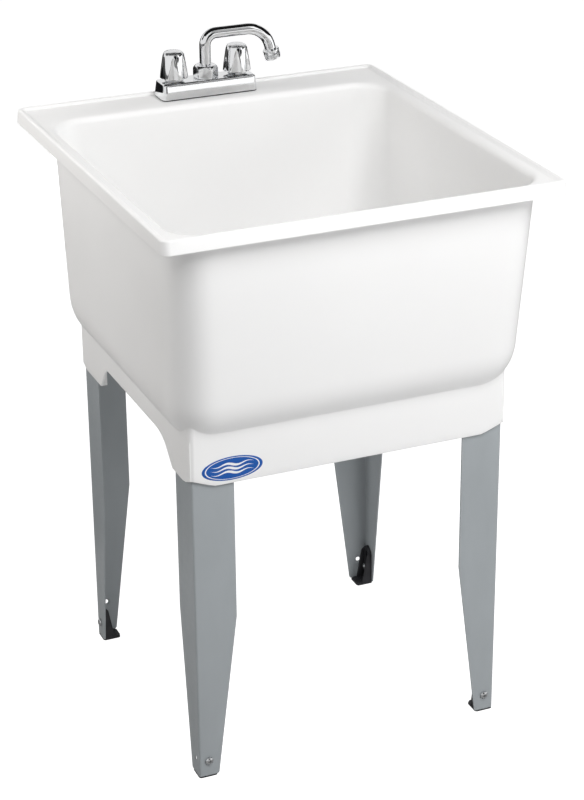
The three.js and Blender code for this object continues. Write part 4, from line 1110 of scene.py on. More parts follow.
def makeStrainer():
    low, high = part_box("drain_strainer")
    bore, barrel = drain["bore"], drain["barrel"]
    under = high.z - 0.003
    flange = high.x
    path = [(bore, low.z, 0.0005), (barrel - 0.0008, low.z, 0.0005)]
    turns = int((under - 0.006 - low.z) / drain["threadPitch"])
    for k in range(turns):
        z = low.z + 0.001 + k * drain["threadPitch"]
        path += [(barrel - 0.0009, z, 0.0002), (barrel, z + drain["threadPitch"] / 2, 0.0003)]
    path += [(barrel - 0.0006, under - 0.003, 0.0005), (barrel, under, 0.0004), (flange, under, 0.0004),
             (flange, high.z - 0.0012, 0.0008), (flange - 0.003, high.z, 0.002),
             (bore + 0.003, high.z - 0.001, 0.002), (bore, high.z - 0.004, 0.0015)]
    cup = latheMesh("strainer_cup", path, stainless, 96, closed=True)
    # two bars cross under a small hub
    bar, soft = drain["bar"], drain["soft"]
    barTop = high.z - drain["barDepth"]
    barLow = barTop - bar
    hubIn, hubOut = drain["hub"], drain["hub"] + bar
    hubPath = [(hubIn, barLow, soft), (hubOut, barLow, soft), (hubOut, barTop, soft), (hubIn, barTop, soft)]
    parts = [latheMesh("hub", hubPath, stainless, 48, closed=True)]
    half = bore + 0.001
    outline = [(-half, -bar / 2), (half, -bar / 2), (half, bar / 2), (-half, bar / 2)]
    for quarter in (0, 1):
        turn = Matrix.Rotation(quarter * math.pi / 2, 4, "Z")
        piece = plateMesh("bar", outline, bar, stainless)
        parts.append(moveMesh(piece, Matrix.Translation((0, 0, barLow)) @ turn))
    cutAndJoin(cup, parts, "UNION")
    refinish(cup, stainless, 36)
    centreOver(cup, "drain_strainer")
    dress(cup, "tub", "steel", "drain_strainer")


def makeDrain():
    makeStrainer()
    soft = drain["soft"]
    for name, node, material, slot in (("drain_seal", "drain_gasket", blackRubber, "rubber"),
                                       ("tail_washer", "tailpiece_washer", nylon, "nylon")):
        low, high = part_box(node)
        inner = drain["barrel"] + 0.0003 if node == "drain_gasket" else drain["bore"] - 0.0005
        path = [(inner, low.z, soft), (high.x, low.z, soft), (high.x, high.z, soft), (inner, high.z, soft)]
        placeLathe(name, path, material, node, "tub", slot, 72, True)

    low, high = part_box("tailpiece")
    tail, wall, lip = drain["tail"], drain["tailWall"], drain["barrel"]
    path = [(tail - wall, low.z, 0.0006), (tail, low.z, 0.0006), (tail, high.z - wall, 0.001),
            (lip, high.z - wall, 0.0005), (lip, high.z, 0.0005), (tail - wall, high.z, 0.0012)]
    placeLathe("tail_tube", path, chrome, "tailpiece", "tub", "chrome", 72, True)

    low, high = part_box("slip_nut")
    flats = 2 * (drain["barrel"] + 0.006)
    nut = makeHexNut("slip_coupling", flats, 2 * (tail + 0.0003), low.z, high.z, chrome, 0.3)
    shoulder = low.z + 0.004
    cutAndJoin(nut, [cylinderTool(lip + 0.0003, shoulder, high.z + 0.002, 72)])
    refinish(nut, chrome, 30)
    centreOver(nut, "slip_nut")
    dress(nut, "tub", "chrome", "slip_nut")

    low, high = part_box("drain_lock_nut")
    rim = high.x
    bore = drain["barrel"] + 0.0003
    hub = (bore + rim) / 2
    path = [(0, low.z, 0), (hub, low.z, 0.0008), (hub, high.z, 0.0008), (0, high.z, 0)]
    body = latheMesh("lug_nut", path, footPlastic, 96)
    outline = [(0, -0.005), (rim, -0.005), (rim, 0.005), (0, 0.005)]
    lugs = []
    for k in range(4):
        lug = plateMesh("lug", outline, high.z - low.z - 0.0004, footPlastic)
        place = Matrix.Rotation(k * math.pi / 2, 4, "Z") @ Matrix.Translation((0, 0, low.z + 0.0002))
        lugs.append(moveMesh(lug, place))
    cutAndJoin(body, lugs, "UNION")
    cutAndJoin(body, [cylinderTool(bore, low.z - 0.002, high.z + 0.002, 72)])
    softenEdges(body, 0.0006, 3, 40)
    refinish(body, footPlastic, 36)
    centreOver(body, "drain_lock_nut")
    dress(body, "tub", "black", "drain_lock_nut")

    low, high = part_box("drain_stopper")
    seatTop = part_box("drain_strainer")[1].z + 0.0003
    bore = drain["bore"]
    path = [(0, low.z, 0), (bore - 0.0015, low.z, 0.0015), (bore - 0.0003, seatTop - 0.0042, 0.001),
            (bore + 0.0034, seatTop, 0.001), (bore + 0.0026, seatTop + 0.003, 0.001),
            (0.006, seatTop + 0.0045, 0.004), (0.0034, seatTop + 0.0085, 0.003),
            (0.0034, high.z - 0.0085, 0.002), (0.0065, high.z - 0.0058, 0.0015),
            (0.0065, high.z - 0.0025, 0.0015), (0.0042, high.z, 0.0012), (0, high.z, 0)]
    placeLathe("drain_plug", path, blackRubber, "drain_stopper", "stopper", "rubber", 72)


# faucet

faucet = {
    "coverDraft": 0.0032,
    "coverCorner": 0.008,
    "coverRound": 0.0034,
    "coverWall": 0.0024,
    "coverFlat": 0.012,
    "gasketInset": 0.0008,
    "gasketHole": 0.0116,
    "valveBarrel": 0.022,
    "post": 0.025,
    "knobTaper": 0.0114,
    "nutTurn": math.radians(-24),
    "flutes": 6,
    "knobSidesPerFlute": 24,
    "knobLevels": 44,
    "fluteFoot": 0.9,
    "fluteTop": 0.3,
    "fluteTurn": math.radians(9.5),
    "fluteDepth": 0.0034,
    "knobShoulder": 0.0009,
    "knobWell": 0.006,
    "knobLift": 0.0024,
    "capEdge": 0.0013,
    "spoutTube": 0.017,
    "spoutWall": 0.0018,
    "spoutFirstBend": 0.018,
    "spoutSecondBend": 0.038,
    "spoutRun": 0.068,
    "spoutDroop": math.radians(74),
    "spoutTip": 0.016,
    "collar": 0.0115,
    "collarThickness": 0.0025,
    "nutLedge": 0.0036,
    "hoseLap": 0.008,
    "hoseLength": 0.015,
    "hoseWall": 0.004,
    "hosePitch": 0.0022,
    "hoseBead": 0.0026,
    "hoseThreadStart": 0.0038,
    "hoseThreadEnd": 0.0012,
    "hoseThreadDepth": 0.0009,
    "shank": 0.0102,
}


def coverLoop(inset, steps=10, sideSteps=16):
    halfX = coverHigh.x - inset
    halfY = (coverHigh.y - coverLow.y) / 2 - inset
    corner = max(faucet["coverCorner"] - inset, 0.002)
    points = []
    centres = [(halfX - corner, halfY - corner), (-halfX + corner, halfY - corner),
               (-halfX + corner, -halfY + corner), (halfX - corner, -halfY + corner)]
    for quarter, centre in enumerate(centres):
        points += arcPoints(centre, corner, quarter * 90, quarter * 90 + 90, steps)
        start = points[-1]
        nextCentre = centres[(quarter + 1) % 4]
        turn = math.radians(quarter * 90 + 90)
        end = (nextCentre[0] + corner * math.cos(turn), nextCentre[1] + corner * math.sin(turn))
        for k in range(1, sideSteps):
            t = k / sideSteps
            points.append((start[0] + (end[0] - start[0]) * t, start[1] + (end[1] - start[1]) * t))
    return points


def makeCover():
    top, bottom = coverHigh.z, coverLow.z
    draft, wall = faucet["coverDraft"], faucet["coverWall"]
    flat = draft + faucet["coverFlat"]
    outPath = [(wall, bottom, 0.0004), (0, bottom, 0.0006), (draft, top, faucet["coverRound"]), (flat, top, 0)]
    inPath = [(flat, top - wall, 0), (wall + draft, top - wall, 0.0015), (wall, bottom + 0.0004, 0)]
    outside = softPath(outPath, 7)[1:]
    rings = [(p.x, p.y) for p in outside + softPath(inPath, 4)]
    size = len(coverLoop(0))
    points = [(x, y, z) for inset, z in rings for x, y in coverLoop(inset)]
    faces = ringFaces(len(rings), size)
    lastOut = (len(outside) - 1) * size
    firstIn = len(outside) * size
    # the flat top closes inside the last outer ring, and its underside inside the first inner ring
    faces = [f for f in faces if not (min(f) >= lastOut and min(f) < firstIn and max(f) >= firstIn)]
    faces.append(tuple(range(lastOut, lastOut + size)))
    faces.append(tuple(range(firstIn + size - 1, firstIn - 1, -1)))
    lastIn = (len(rings) - 1) * size
    faces += [(lastIn + i, lastIn + (i + 1) % size, (i + 1) % size, i) for i in range(size)]
    piece = addMesh("deck_cover", points, faces, chrome)
    faceOutward(piece)
    barrel, post = faucet["valveBarrel"] / 2, faucet["post"] / 2
    tools = []
    for x, radius in ((valveX["hot"], barrel), (valveX["cold"], barrel), (0, post)):
        place = Matrix.Translation((x, 0, 0))
        tools.append(cylinderTool(radius + 0.0003, top - 0.006, top + through, 64, place))
    cutAndJoin(piece, tools)
    refinish(piece, chrome, 30)
    moveMesh(piece, Matrix.Translation((0, faucetY, 0)))
    dress(piece, "tub", "chrome", "faucet_cover")


def makeGasket():
    low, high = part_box("faucet_gasket")
    levels = [(0.0003, low.z), (0, low.z + 0.0003), (0, high.z - 0.0003), (0.0003, high.z)]
    size = len(coverLoop(0))
    points = [(x, y + faucetY, z) for inset, z in levels for x, y in coverLoop(faucet["gasketInset"] + inset)]
    faces = ringFaces(len(levels), size)
    faces += [tuple(range(size - 1, -1, -1)), tuple(range((len(levels) - 1) * size, len(levels) * size))]
    piece = addMesh("deck_gasket", points, faces, blackRubber)
    tools = []
    for x in valveX.values():
        place = Matrix.Translation((x, faucetY, 0))
        tools.append(cylinderTool(faucet["gasketHole"], low.z - 0.002, high.z + 0.002, 48, place))
    cutAndJoin(piece, tools)
    refinish(piece, blackRubber, 30)
    dress(piece, "tub", "rubber", "faucet_gasket")


# a tapered knob: round at its shoulder, with flutes that widen and deepen towards its foot
def knobMesh(name, low, high, footRadius, taper):
    perFlute = faucet["knobSidesPerFlute"]
    count = faucet["flutes"] * perFlute
    levels = faucet["knobLevels"]
    points = []
    for level in range(levels + 1):
        t = level / levels
        t = t if t < 0.8 else 0.8 + 0.2 * math.sin((t - 0.8) / 0.2 * math.pi / 2)
        shoulder = 0.0
        if t > 0.86:
            share = min((t - 0.86) / 0.14, 1)
            shoulder = faucet["knobShoulder"] * (1 - math.sqrt(max(1 - share ** 2, 0)))
        footRound = 0.0008 * max(0.0, 1 - t / 0.02) ** 2
        radius = footRadius - taper / 2 * t ** 1.25 - shoulder - footRound
        reach = min(t / 0.9, 1)
        depth = faucet["fluteDepth"] * max(1 - reach, 0) ** 0.85
        halfWidth = faucet["fluteFoot"] + (faucet["fluteTop"] - faucet["fluteFoot"]) * reach
        for i in range(count):
            angle = 2 * math.pi * i / count
            offset = abs(((i / perFlute + 0.5) % 1) - 0.5) * 2
            dip = 0.0
            if offset < halfWidth:
                dip = math.cos(offset / halfWidth * math.pi / 2) ** 1.6
            r = radius - depth * dip
            points.append((r * math.cos(angle), r * math.sin(angle), low + t * (high - low)))
    faces = ringFaces(levels + 1, count)
    faces.append(tuple(range(count - 1, -1, -1)))
    faces.append(tuple(range(levels * count, (levels + 1) * count)))
    piece = addMesh(name, points, faces, chrome)
    faceOutward(piece)
    return piece


def makeHandle(side):
    x = valveX[side]
    body = side + "_handle"
    low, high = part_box(body)
    footRadius = max((high.y - low.y) / 2, (high.x - low.x) / 2)
    knob = knobMesh(side + "_knob", low.z + faucet["knobLift"], high.z, footRadius, faucet["knobTaper"])
    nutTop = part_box(side + "_bonnet_nut")[1].z
    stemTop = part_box(side + "_stem")[1].z
    hollow = footRadius - faucet["fluteDepth"] - 0.0016
    tools = [cylinderTool(hollow, low.z - 0.002, nutTop + 0.004, 64),
             cylinderTool(0.0043, low.z, stemTop + 0.0003, 40),
             cylinderTool(0.0023, stemTop, stemTop + 0.0045, 32),
             cylinderTool(faucet["knobWell"], stemTop + 0.0033, high.z + 0.002, 48)]
    cutAndJoin(knob, tools)
    refinish(knob, chrome, 30)
    moveMesh(knob, Matrix.Translation((x, faucetY, 0)) @ Matrix.Rotation(faucet["fluteTurn"], 4, "Z"))
    dress(knob, body, "chrome", body)

    low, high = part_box(side + "_handle_cap")
    rim = footRadius - faucet["knobTaper"] / 2 - faucet["knobShoulder"] - 0.0002
    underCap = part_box(body)[1].z + 0.0003
    crown = high.z - underCap
    edge = faucet["capEdge"]
    capPath = [(0, low.z, 0), (0.0057, low.z, 0.0005), (0.0057, underCap, 0), (rim, underCap, 0.0002),
               (rim, underCap + 0.0004, 0.0002), (rim - edge, underCap + 0.0004 + edge * 0.9, 0.0012),
               (rim * 0.5, underCap + crown * 0.72, 0.004), (0, underCap + crown * 0.8, 0)]
    cap = latheMesh(side + "_cap", capPath, satinChrome, 72, softSteps=6)
    moveMesh(cap, Matrix.Translation((x, faucetY, 0)))
    dress(cap, body, "chrome", side + "_handle_cap")


def makeSpoutNut():
    low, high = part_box("spout_nut")
    flats = high.y - low.y
    bore = faucet["spoutTube"] + 0.0006
    nut = makeHexNut("swivel_nut", flats, bore, low.z, high.z, satinChrome, 0.95, 0.0004)
    collarTop = high.z - faucet["nutLedge"]
    cutAndJoin(nut, [cylinderTool(faucet["post"] / 2 + 0.0003, low.z - 0.002, collarTop, 64)])
    refinish(nut, satinChrome, 30)
    moveMesh(nut, Matrix.Translation((0, faucetY, 0)) @ Matrix.Rotation(faucet["nutTurn"], 4, "Z"))
    dress(nut, "tub", "chrome", "spout_nut")


def spoutPath(footZ, level):
    first, second = faucet["spoutFirstBend"], faucet["spoutSecondBend"]
    points = [(0, footZ + (level - first - footZ) * k / 8) for k in range(8)]
    points += arcPoints((first, level - first), first, 180, 90, 18)
    run = faucet["spoutRun"]
    points += [(first + (run - first) * k / 8, level) for k in range(1, 8)]
    points += arcPoints((run, level - second), second, 90, 90 - math.degrees(faucet["spoutDroop"]), 22)
    heading = Vector((math.cos(faucet["spoutDroop"]), -math.sin(faucet["spoutDroop"])))
    last = Vector(points[-1])
    points += [tuple(last + heading * faucet["spoutTip"] * k / 4) for k in range(1, 5)]
    return points, heading


def sweepTube(points, radius, sides):
    rings = []
    for i, p in enumerate(points):
        along = (Vector(points[min(i + 1, len(points) - 1)]) - Vector(points[max(i - 1, 0)])).normalized()
        across = Vector((along.y, -along.x))
        loop = []
        for k in range(sides):
            angle = 2 * math.pi * k / sides
            offset = across * (radius * math.cos(angle))
            loop.append((p[0] + offset.x, radius * math.sin(angle), p[1] + offset.y))
        rings.append(loop)
    return rings


def makeSpout():
    low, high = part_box("spout")
    tube = faucet["spoutTube"] / 2
    path, heading = spoutPath(low.z, high.z - tube)
    sides = 40
    outer = sweepTube(path, tube, sides)
    inner = sweepTube(path, tube - faucet["spoutWall"], sides)
    rings = outer + inner[::-1]
    points = [(x, y + faucetY, z) for r in rings for x, y, z in r]
    piece = addMesh("spout_tube", points, ringFaces(len(rings), sides, wrap=True), chrome)
    faceOutward(piece)
    rim, inside = faucet["collar"], tube - 0.0004
    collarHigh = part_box("spout_nut")[1].z - faucet["nutLedge"] - 0.0003
    collarLow = collarHigh - faucet["collarThickness"]
    collarPath = [(inside, collarLow, 0), (rim, collarLow, 0.0004), (rim, collarHigh, 0.0004),
                  (inside, collarHigh, 0)]
    collar = latheMesh("collar", collarPath, chrome, 48, closed=True)
    moveMesh(collar, Matrix.Translation((0, faucetY, 0)))
    cutAndJoin(piece, [collar], "UNION")
    refinish(piece, chrome, 34)
    dress(piece, "spout", "chrome", "spout")
    return path[-1], heading


# a lathed sleeve whose outside carries a real screw thread between two heights
def threadedSleeve(name, inner, outer, low, high, threadLow, threadHigh, pitch, depth, material):
    sides = 72
    perTurn = 8
    rows = int((threadHigh - threadLow) / pitch * perTurn)
    zRows = [threadLow + (threadHigh - threadLow) * k / rows for k in range(rows + 1)]
    points = []

    def addRow(radius, z):
        for i in range(sides):
            angle = 2 * math.pi * i / sides
            points.append((radius * math.cos(angle), radius * math.sin(angle), z))

    rowCount = 0
    soft = 0.0005
    root = outer - depth
    start = [(root - soft, low), (root, low + soft), (root, threadLow - 0.0002)]
    for radius, z in start:
        addRow(radius, z)
        rowCount += 1
    for z in zRows:
        fade = min((z - threadLow) / pitch, (threadHigh - z) / pitch, 1.0)
        for i in range(sides):
            angle = 2 * math.pi * i / sides
            phase = (z / pitch - i / sides) % 1
            crest = min(abs(phase - 0.5) * 2, 1)
            rise = min(max((1 - crest) * 1.9 - 0.35, 0), 1)
            radius = root + depth * rise * fade
            points.append((radius * math.cos(angle), radius * math.sin(angle), z))
        rowCount += 1
    finish = [(root, threadHigh + 0.0002), (root, high - soft), (root - soft, high), (inner + soft, high),
              (inner, high - soft), (inner, low + soft), (inner + soft, low)]
    for radius, z in finish:
        addRow(radius, z)
        rowCount += 1
    piece = addMesh(name, points, ringFaces(rowCount, sides, wrap=True), material)
    faceOutward(piece)
    return piece


def makeHoseEnd(tip, heading):
    bore = faucet["spoutTube"] / 2 - faucet["spoutWall"]
    sleeveBore = faucet["spoutTube"] / 2 + 0.0003
    outside = faucet["spoutTube"] / 2 + faucet["hoseWall"]
    lap, length = faucet["hoseLap"], faucet["hoseLength"]
    threadLow, threadHigh = faucet["hoseThreadStart"], length - faucet["hoseThreadEnd"]
    piece = threadedSleeve("hose_outlet", bore, outside, 0, length, threadLow, threadHigh, faucet["hosePitch"],
                           faucet["hoseThreadDepth"], chrome)
    cutAndJoin(piece, [cylinderTool(sleeveBore, -0.002, lap + 0.0003, 64)])
    beadTop = faucet["hoseBead"]
    path = [(sleeveBore, 0, 0.0004), (outside, 0, 0.0006), (outside, beadTop, 0.0006), (sleeveBore, beadTop, 0)]
    bead = latheMesh("bead", path, chrome, 72, closed=True)
    cutAndJoin(piece, [bead], "UNION")
    refinish(piece, chrome, 34)
    tilt = math.atan2(heading.x, heading.y)
    start = Vector((tip[0], faucetY, tip[1])) - Vector((heading.x, 0, heading.y)) * lap
    moveMesh(piece, Matrix.Translation(start) @ Matrix.Rotation(tilt, 4, "Y"))
    dress(piece, "spout", "chrome", "hose_end")


def makeUnderDeck(side):
    x = valveX[side]
    place = Matrix.Translation((x, faucetY, 0))
    low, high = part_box(side + "_shank_washer")
    rim = (high.x - low.x) / 2
    inner = faucet["shank"] + 0.0003
    path = [(inner, low.z, 0.0003), (rim, low.z, 0.0004), (rim, high.z, 0.0004), (inner, high.z, 0.0003)]
    washer = latheMesh(side + "_deck_washer", path, stainless, 72, closed=True)
    dress(moveMesh(washer, place), "tub", "steel", side + "_shank_washer")

    low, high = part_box(side + "_lock_nut")
    rim = (high.x - low.x) / 2
    flange = high.z - 0.003
    path = [(0, flange, 0), (rim, flange, 0.0006), (rim, high.z, 0.0006), (0, high.z, 0)]
    nut = latheMesh(side + "_deck_nut", path, nylon, 72)
    hub, hubTop = inner + 0.004, high.z - 0.001
    path = [(0, low.z, 0), (hub, low.z, 0.0006), (hub, hubTop, 0), (0, hubTop, 0)]
    parts = [latheMesh("hub", path, nylon, 72)]
    outline = [(inner, -0.0015), (rim, -0.0015), (rim, 0.0015), (inner, 0.0015)]
    for k in range(4):
        wing = plateMesh("wing", outline, high.z - low.z - 0.001, nylon)
        turn = Matrix.Rotation(k * math.pi / 2, 4, "Z") @ Matrix.Translation((0, 0, low.z))
        parts.append(moveMesh(wing, turn))
    cutAndJoin(nut, parts, "UNION")
    cutAndJoin(nut, [cylinderTool(inner, low.z - 0.002, high.z + 0.002, 64)])
    softenEdges(nut, 0.0005, 3, 40)
    refinish(nut, nylon, 36)
    dress(moveMesh(nut, place), "tub", "nylon", side + "_lock_nut")


label = {
    "x": -0.1775,
    "z": 0.4865,
    "halfWidth": 0.0445,
    "halfHeight": 0.0175,
    "thick": 0.00025,
    "blue": (0.002, 0.086, 0.39),
    "white": (0.85, 0.86, 0.87),
    "roughness": 0.3,
    "keyline": (0.86, 0.90),
    "field": 0.8,
    "waveRows": (-0.34, 0.0, 0.34),
    "waveCount": 9.0,
    "waveHeight": 0.1,
    "waveReach": 0.72,
    "waveWidth": 0.16,
    "rings": 24,
    "sides": 128,
}


# a keyline and three waves, worked out from the sticker's own flat coordinates
def makeLabelPrint():
    material, shader = newFinish("labelPrint", label["blue"], label["roughness"])
    nodes = material.node_tree.nodes
    links = material.node_tree.links
    flat = nodes.new("ShaderNodeUVMap")
    flat.uv_map = "flat"
    split = nodes.new("ShaderNodeSeparateXYZ")
    links.new(flat.outputs["UV"], split.inputs["Vector"])

    def combine(operation, a, b=None):
        node = nodes.new("ShaderNodeMath")
        node.operation = operation
        for k, value in enumerate((a, b)):
            if value is None:
                continue
            if isinstance(value, (int, float)):
                node.inputs[k].default_value = value
            else:
                links.new(value, node.inputs[k])
        return node.outputs[0]

    u, v = split.outputs["X"], split.outputs["Y"]
    squared = combine("ADD", combine("MULTIPLY", u, u), combine("MULTIPLY", v, v))
    radius = combine("SQRT", squared)
    inner, outer = label["keyline"]
    keyline = combine("MULTIPLY", combine("GREATER_THAN", radius, inner), combine("LESS_THAN", radius, outer))
    wave = combine("SINE", combine("MULTIPLY", u, label["waveCount"]))
    wave = combine("MULTIPLY", wave, label["waveHeight"])
    waves = None
    for offset in label["waveRows"]:
        away = combine("ABSOLUTE", combine("SUBTRACT", combine("ADD", v, wave), offset))
        taper = combine("SUBTRACT", label["waveReach"], combine("ABSOLUTE", u))
        line = combine("LESS_THAN", away, combine("MULTIPLY", taper, label["waveWidth"]))
        waves = line if waves is None else combine("MAXIMUM", waves, line)
    inField = combine("LESS_THAN", radius, label["field"])
    pattern = combine("MAXIMUM", keyline, combine("MULTIPLY", waves, inField))
    mix = nodes.new("ShaderNodeMix")
    mix.data_type = "RGBA"
    mix.inputs["A"].default_value = (*label["blue"], 1)
    mix.inputs["B"].default_value = (*label["white"], 1)
    links.new(pattern, mix.inputs["Factor"])
    links.new(mix.outputs["Result"], shader.inputs["Base Color"])
    addBump(material, shader, noiseField(material, 300.0, 2.0), 0.00001)
    return material


# a plain oval sticker, set flat on the skirt's front
def makeLabel():
    rings, sides = label["rings"], label["sides"]
    points = []
    shares = [k / rings for k in range(rings)] + [0.996, 1.0, 1.0]
    lifts = [label["thick"]] * rings + [label["thick"] * 0.9, label["thick"] * 0.5, -0.0002]
    for share, lift in zip(shares[1:], lifts[1:]):
        for i in range(sides):
            angle = 2 * math.pi * i / sides
            points.append((label["x"] + label["halfWidth"] * share * math.cos(angle), skirtFront - lift,
                           label["z"] + label["halfHeight"] * share * math.sin(angle)))
    count = len(shares) - 1
    faces = ringFaces(count, sides)
    points.append((label["x"], skirtFront - label["thick"], label["z"]))
    centre = len(points) - 1
    faces += [(centre, (i + 1) % sides, i) for i in range(sides)]
    last = (count - 1) * sides
    faces.append(tuple(last + i for i in range(sides)))
    piece = addMesh("label", points, faces, makeLabelPrint(), 50)
    faceOutward(piece)
    layer = piece.data.uv_layers.new(name="flat")
    for loop in piece.data.loops:
        co = piece.data.vertices[loop.vertex_index].co
        across = (co.x - label["x"]) / label["halfWidth"]
        up = (co.z - label["z"]) / label["halfHeight"]
        layer.data[loop.index].uv = (across, up)
    dress(piece, "tub", "tub")


# build

makeTub()
print("tub made")
for name, quarter, screwFlange, spareHeight in legPlaces:
    makeLeg(name, quarter, screwFlange, spareHeight)
    makeFoot(name, quarter, screwFlange)
makeFootScrews()
print("legs and feet made")
makeDrain()
print("drain made")
makeCover()
makeGasket()
for side in ("hot", "cold"):
    makeHandle(side)
    makeUnderDeck(side)
makeSpoutNut()
makeHoseEnd(*makeSpout())
makeLabel()
print("faucet and label made")

# the pieces that stay as they are get their finish in their own slots
keptFinishes = {"zinc": zinc, "brass": brass, "rubber": blackRubber, "steel": stainless, "chrome": chrome,
                "nylon": nylon, "black": footPlastic, "leg": legPaint, "tub": tubPlastic}
slotOf = {part["node"]: part["material_slot"] for part in frame["record"]["subparts"]}
for node, piece in frame["nodes"].items():
    for place in piece.material_slots:
        place.material = keptFinishes[slotOf[node]]

# studio

studio = {
    "floorTone": (0.3, 0.3, 0.3),
    "backdropSeen": 1.0,
    "floorSoft": 0.37,
    "floorShine": 0.06,
    "floorSize": 30.0,
    "skyShine": 0.8,
    # name: place, what it faces, width, power, tone
    "panels": {
        "top": ((0.2, -1.6, 2.4), (0.0, -0.1, 0.8), 1.2, 49.0, (1, 1, 1)),
        "key": ((1.5, -2.0, 0.9), (0.0, 0.0, 0.6), 1.2, 18.0, (1, 1, 1)),
        "right": ((1.5, 0.3, 1.5), (0.0, 0.0, 0.6), 1.0, 9.4, (1, 1, 1)),
        "side": ((-1.0, 0.35, 1.35), (0.0, 0.0, 0.6), 0.8, 7.2, (1, 0.985, 0.965)),
        "fill": ((-1.5, 0.2, 0.8), (0.0, 0.0, 0.6), 1.0, 4.6, (1, 0.985, 0.965)),
        "rear": ((0.5, 2.6, 0.45), (0.0, 0.0, 0.5), 1.2, 30.0, (1, 1, 1)),
    },
    # name: lowest corner, highest corner, glow
    "cards": {
        "floorCloth": ((-3.0, 0.5, 0.003), (3.0, 3.0, 0.003), 0.0),
        "backLeftCloth": ((-2.2, 1.5, 0.0), (-1.0, 1.5, 0.45), 0.0),
        "edgeCloth": ((-0.9, 1.5, 0.4), (0.3, 1.5, 1.1), 0.0),
        "backRightCloth": ((1.0, 1.5, 0.0), (2.2, 1.5, 1.0), 0.0),
        "topCloth": ((-3.0, -1.2, 3.4), (3.0, 3.2, 3.4), 0.0),
        "lowLeftCloth": ((-2.2, 0.3, 0.0), (-2.2, 1.5, 0.45), 0.0),
        "highLeftCloth": ((-2.2, 0.3, 1.6), (-2.2, 1.5, 3.4), 0.0),
        "rightCloth": ((2.2, 0.2, 0.0), (2.2, 1.5, 3.4), 0.0),
        "highCloth": ((2.2, -1.6, 1.3), (2.2, 0.2, 3.4), 0.0),
        "rightCard": ((2.2, -1.6, 0.3), (2.2, 0.2, 1.3), 1.15),
        "stripCloth": ((-0.85, -2.6, 0.74), (0.64, -2.6, 2.4), 0.0),
        "wideCloth": ((0.78, -2.6, 1.02), (2.2, -2.6, 1.5), 0.0),
        "frontCard": ((-0.6, -3.2, 1.3), (2.05, -3.2, 6.5), 0.36),
        "lowCard": ((0.5, -3.2, 0.3), (2.05, -3.2, 1.3), 1.15),
        "tallCard": ((2.05, -3.2, 0.3), (3.6, -3.2, 5.0), 1.15),
    },
    "cameraPlace": (-1.173142, -2.827113, 1.828231),
    "cameraTurn": -22.836,
    "cameraFall": 24.224,
    "cameraRoll": -0.526,
    "lens": 101.80,
}


# a strength that differs for what the camera, soft light and reflections see
def byRay(material, kinds):
    nodes = material.node_tree.nodes
    links = material.node_tree.links
    path = nodes.new("ShaderNodeLightPath")
    total = None
    for kind, strength in kinds.items():
        share = nodes.new("ShaderNodeMath")
        share.operation = "MULTIPLY_ADD"
        share.inputs[1].default_value = strength
        share.inputs[2].default_value = 0
        links.new(path.outputs[kind], share.inputs[0])
        if total:
            links.new(total, share.inputs[2])
        total = share.outputs[0]
    return total


def addFloor():
    half = studio["floorSize"] / 2
    corners = [(-half, -half, 0), (half, -half, 0), (half, half, 0), (-half, half, 0)]
    floor = addMesh("floor", corners, [(0, 1, 2, 3)])
    material, shader = newFinish("floorPaint", studio["floorTone"], 0.8)
    shader.inputs["Specular IOR Level"].default_value = 0.1
    shader.inputs["Emission Color"].default_value = (1, 1, 1, 1)
    glow = byRay(material, {"Is Camera Ray": studio["backdropSeen"], "Is Diffuse Ray": studio["floorSoft"],
                            "Is Glossy Ray": studio["floorShine"]})
    material.node_tree.links.new(glow, shader.inputs["Emission Strength"])
    addBump(material, shader, noiseField(material, 40.0, 2.0), 0.0002)
    floor.data.materials.append(material)
    moveMesh(floor, Matrix.Translation((0, 0, -0.0005)))


# soft light only: what shiny surfaces see is made by the sky and the cards below
def addPanel(name, place, target, size, power, tone):
    light = bpy.data.lights.new(name, "AREA")
    light.size = size
    light.energy = power
    light.color = tone
    lamp = bpy.data.objects.new(name, light)
    lamp.location = place
    aim = Vector(target) - Vector(place)
    lamp.rotation_euler = aim.to_track_quat("-Z", "Y").to_euler()
    lamp.visible_glossy = False
    lamp.visible_camera = False
    bpy.context.scene.collection.objects.link(lamp)


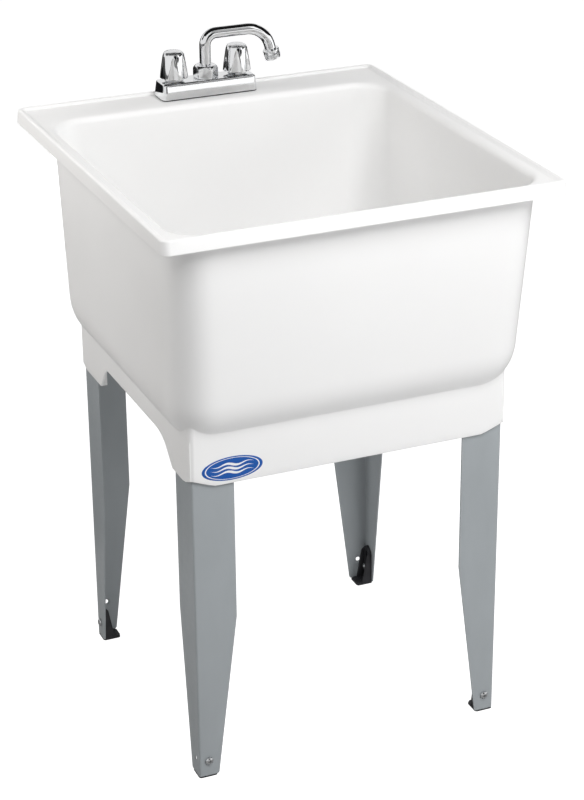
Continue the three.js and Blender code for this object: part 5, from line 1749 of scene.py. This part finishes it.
# upright or level cards that only shiny surfaces see: dark cloth, or pale when they glow
def addCard(name, low, high, glow):
    across, up = [axis for axis in range(3) if low[axis] != high[axis]]
    corners = [Vector(low), Vector(low), Vector(high), Vector(low)]
    corners[1][across] = high[across]
    corners[3][up] = high[up]
    card = addMesh(name, corners, [(0, 1, 2, 3)])
    material, shader = newFinish(name + "Cloth", (0.006, 0.006, 0.007), 1.0)
    varyInput(material, shader, noiseField(material, 20.0), "Roughness", 0.9, 1.0)
    shader.inputs["Emission Color"].default_value = (1, 1, 1, 1)
    shader.inputs["Emission Strength"].default_value = glow
    card.data.materials.append(material)
    card.visible_camera = False
    card.visible_diffuse = False
    card.visible_shadow = False
    card.visible_transmission = False


def addCamera():
    turn, fall, roll = (math.radians(studio[k]) for k in ("cameraTurn", "cameraFall", "cameraRoll"))
    back = Vector((math.sin(turn) * math.cos(fall), -math.cos(turn) * math.cos(fall), math.sin(fall)))
    right = Vector((math.cos(turn), math.sin(turn), 0))
    up = right.cross(-back)
    rolledRight = right * math.cos(roll) + up * math.sin(roll)
    rolledUp = up * math.cos(roll) - right * math.sin(roll)
    camera = bpy.data.cameras.new("camera")
    camera.sensor_fit = "VERTICAL"
    camera.sensor_height = 36
    camera.lens = studio["lens"]
    camera.clip_end = 100
    holder = bpy.data.objects.new("camera", camera)
    axes = Matrix((rolledRight, rolledUp, back)).transposed()
    holder.matrix_world = Matrix.Translation(studio["cameraPlace"]) @ axes.to_4x4()
    bpy.context.scene.collection.objects.link(holder)
    bpy.context.scene.camera = holder


# the sky gives no soft light of its own: it is the backdrop, and shows in reflections
def addSky():
    world = bpy.data.worlds.new("studio")
    world.use_nodes = True
    bpy.context.scene.world = world
    background = world.node_tree.nodes["Background"]
    background.inputs["Color"].default_value = (1, 1, 1, 1)
    glow = byRay(world, {"Is Camera Ray": studio["backdropSeen"], "Is Glossy Ray": studio["skyShine"]})
    world.node_tree.links.new(glow, background.inputs["Strength"])


addFloor()
addCamera()
addSky()
for name, panel in studio["panels"].items():
    addPanel(name, *panel)
for name, card in studio["cards"].items():
    addCard(name, *card)
bpy.context.scene.view_settings.view_transform = "Standard"
print("studio set")
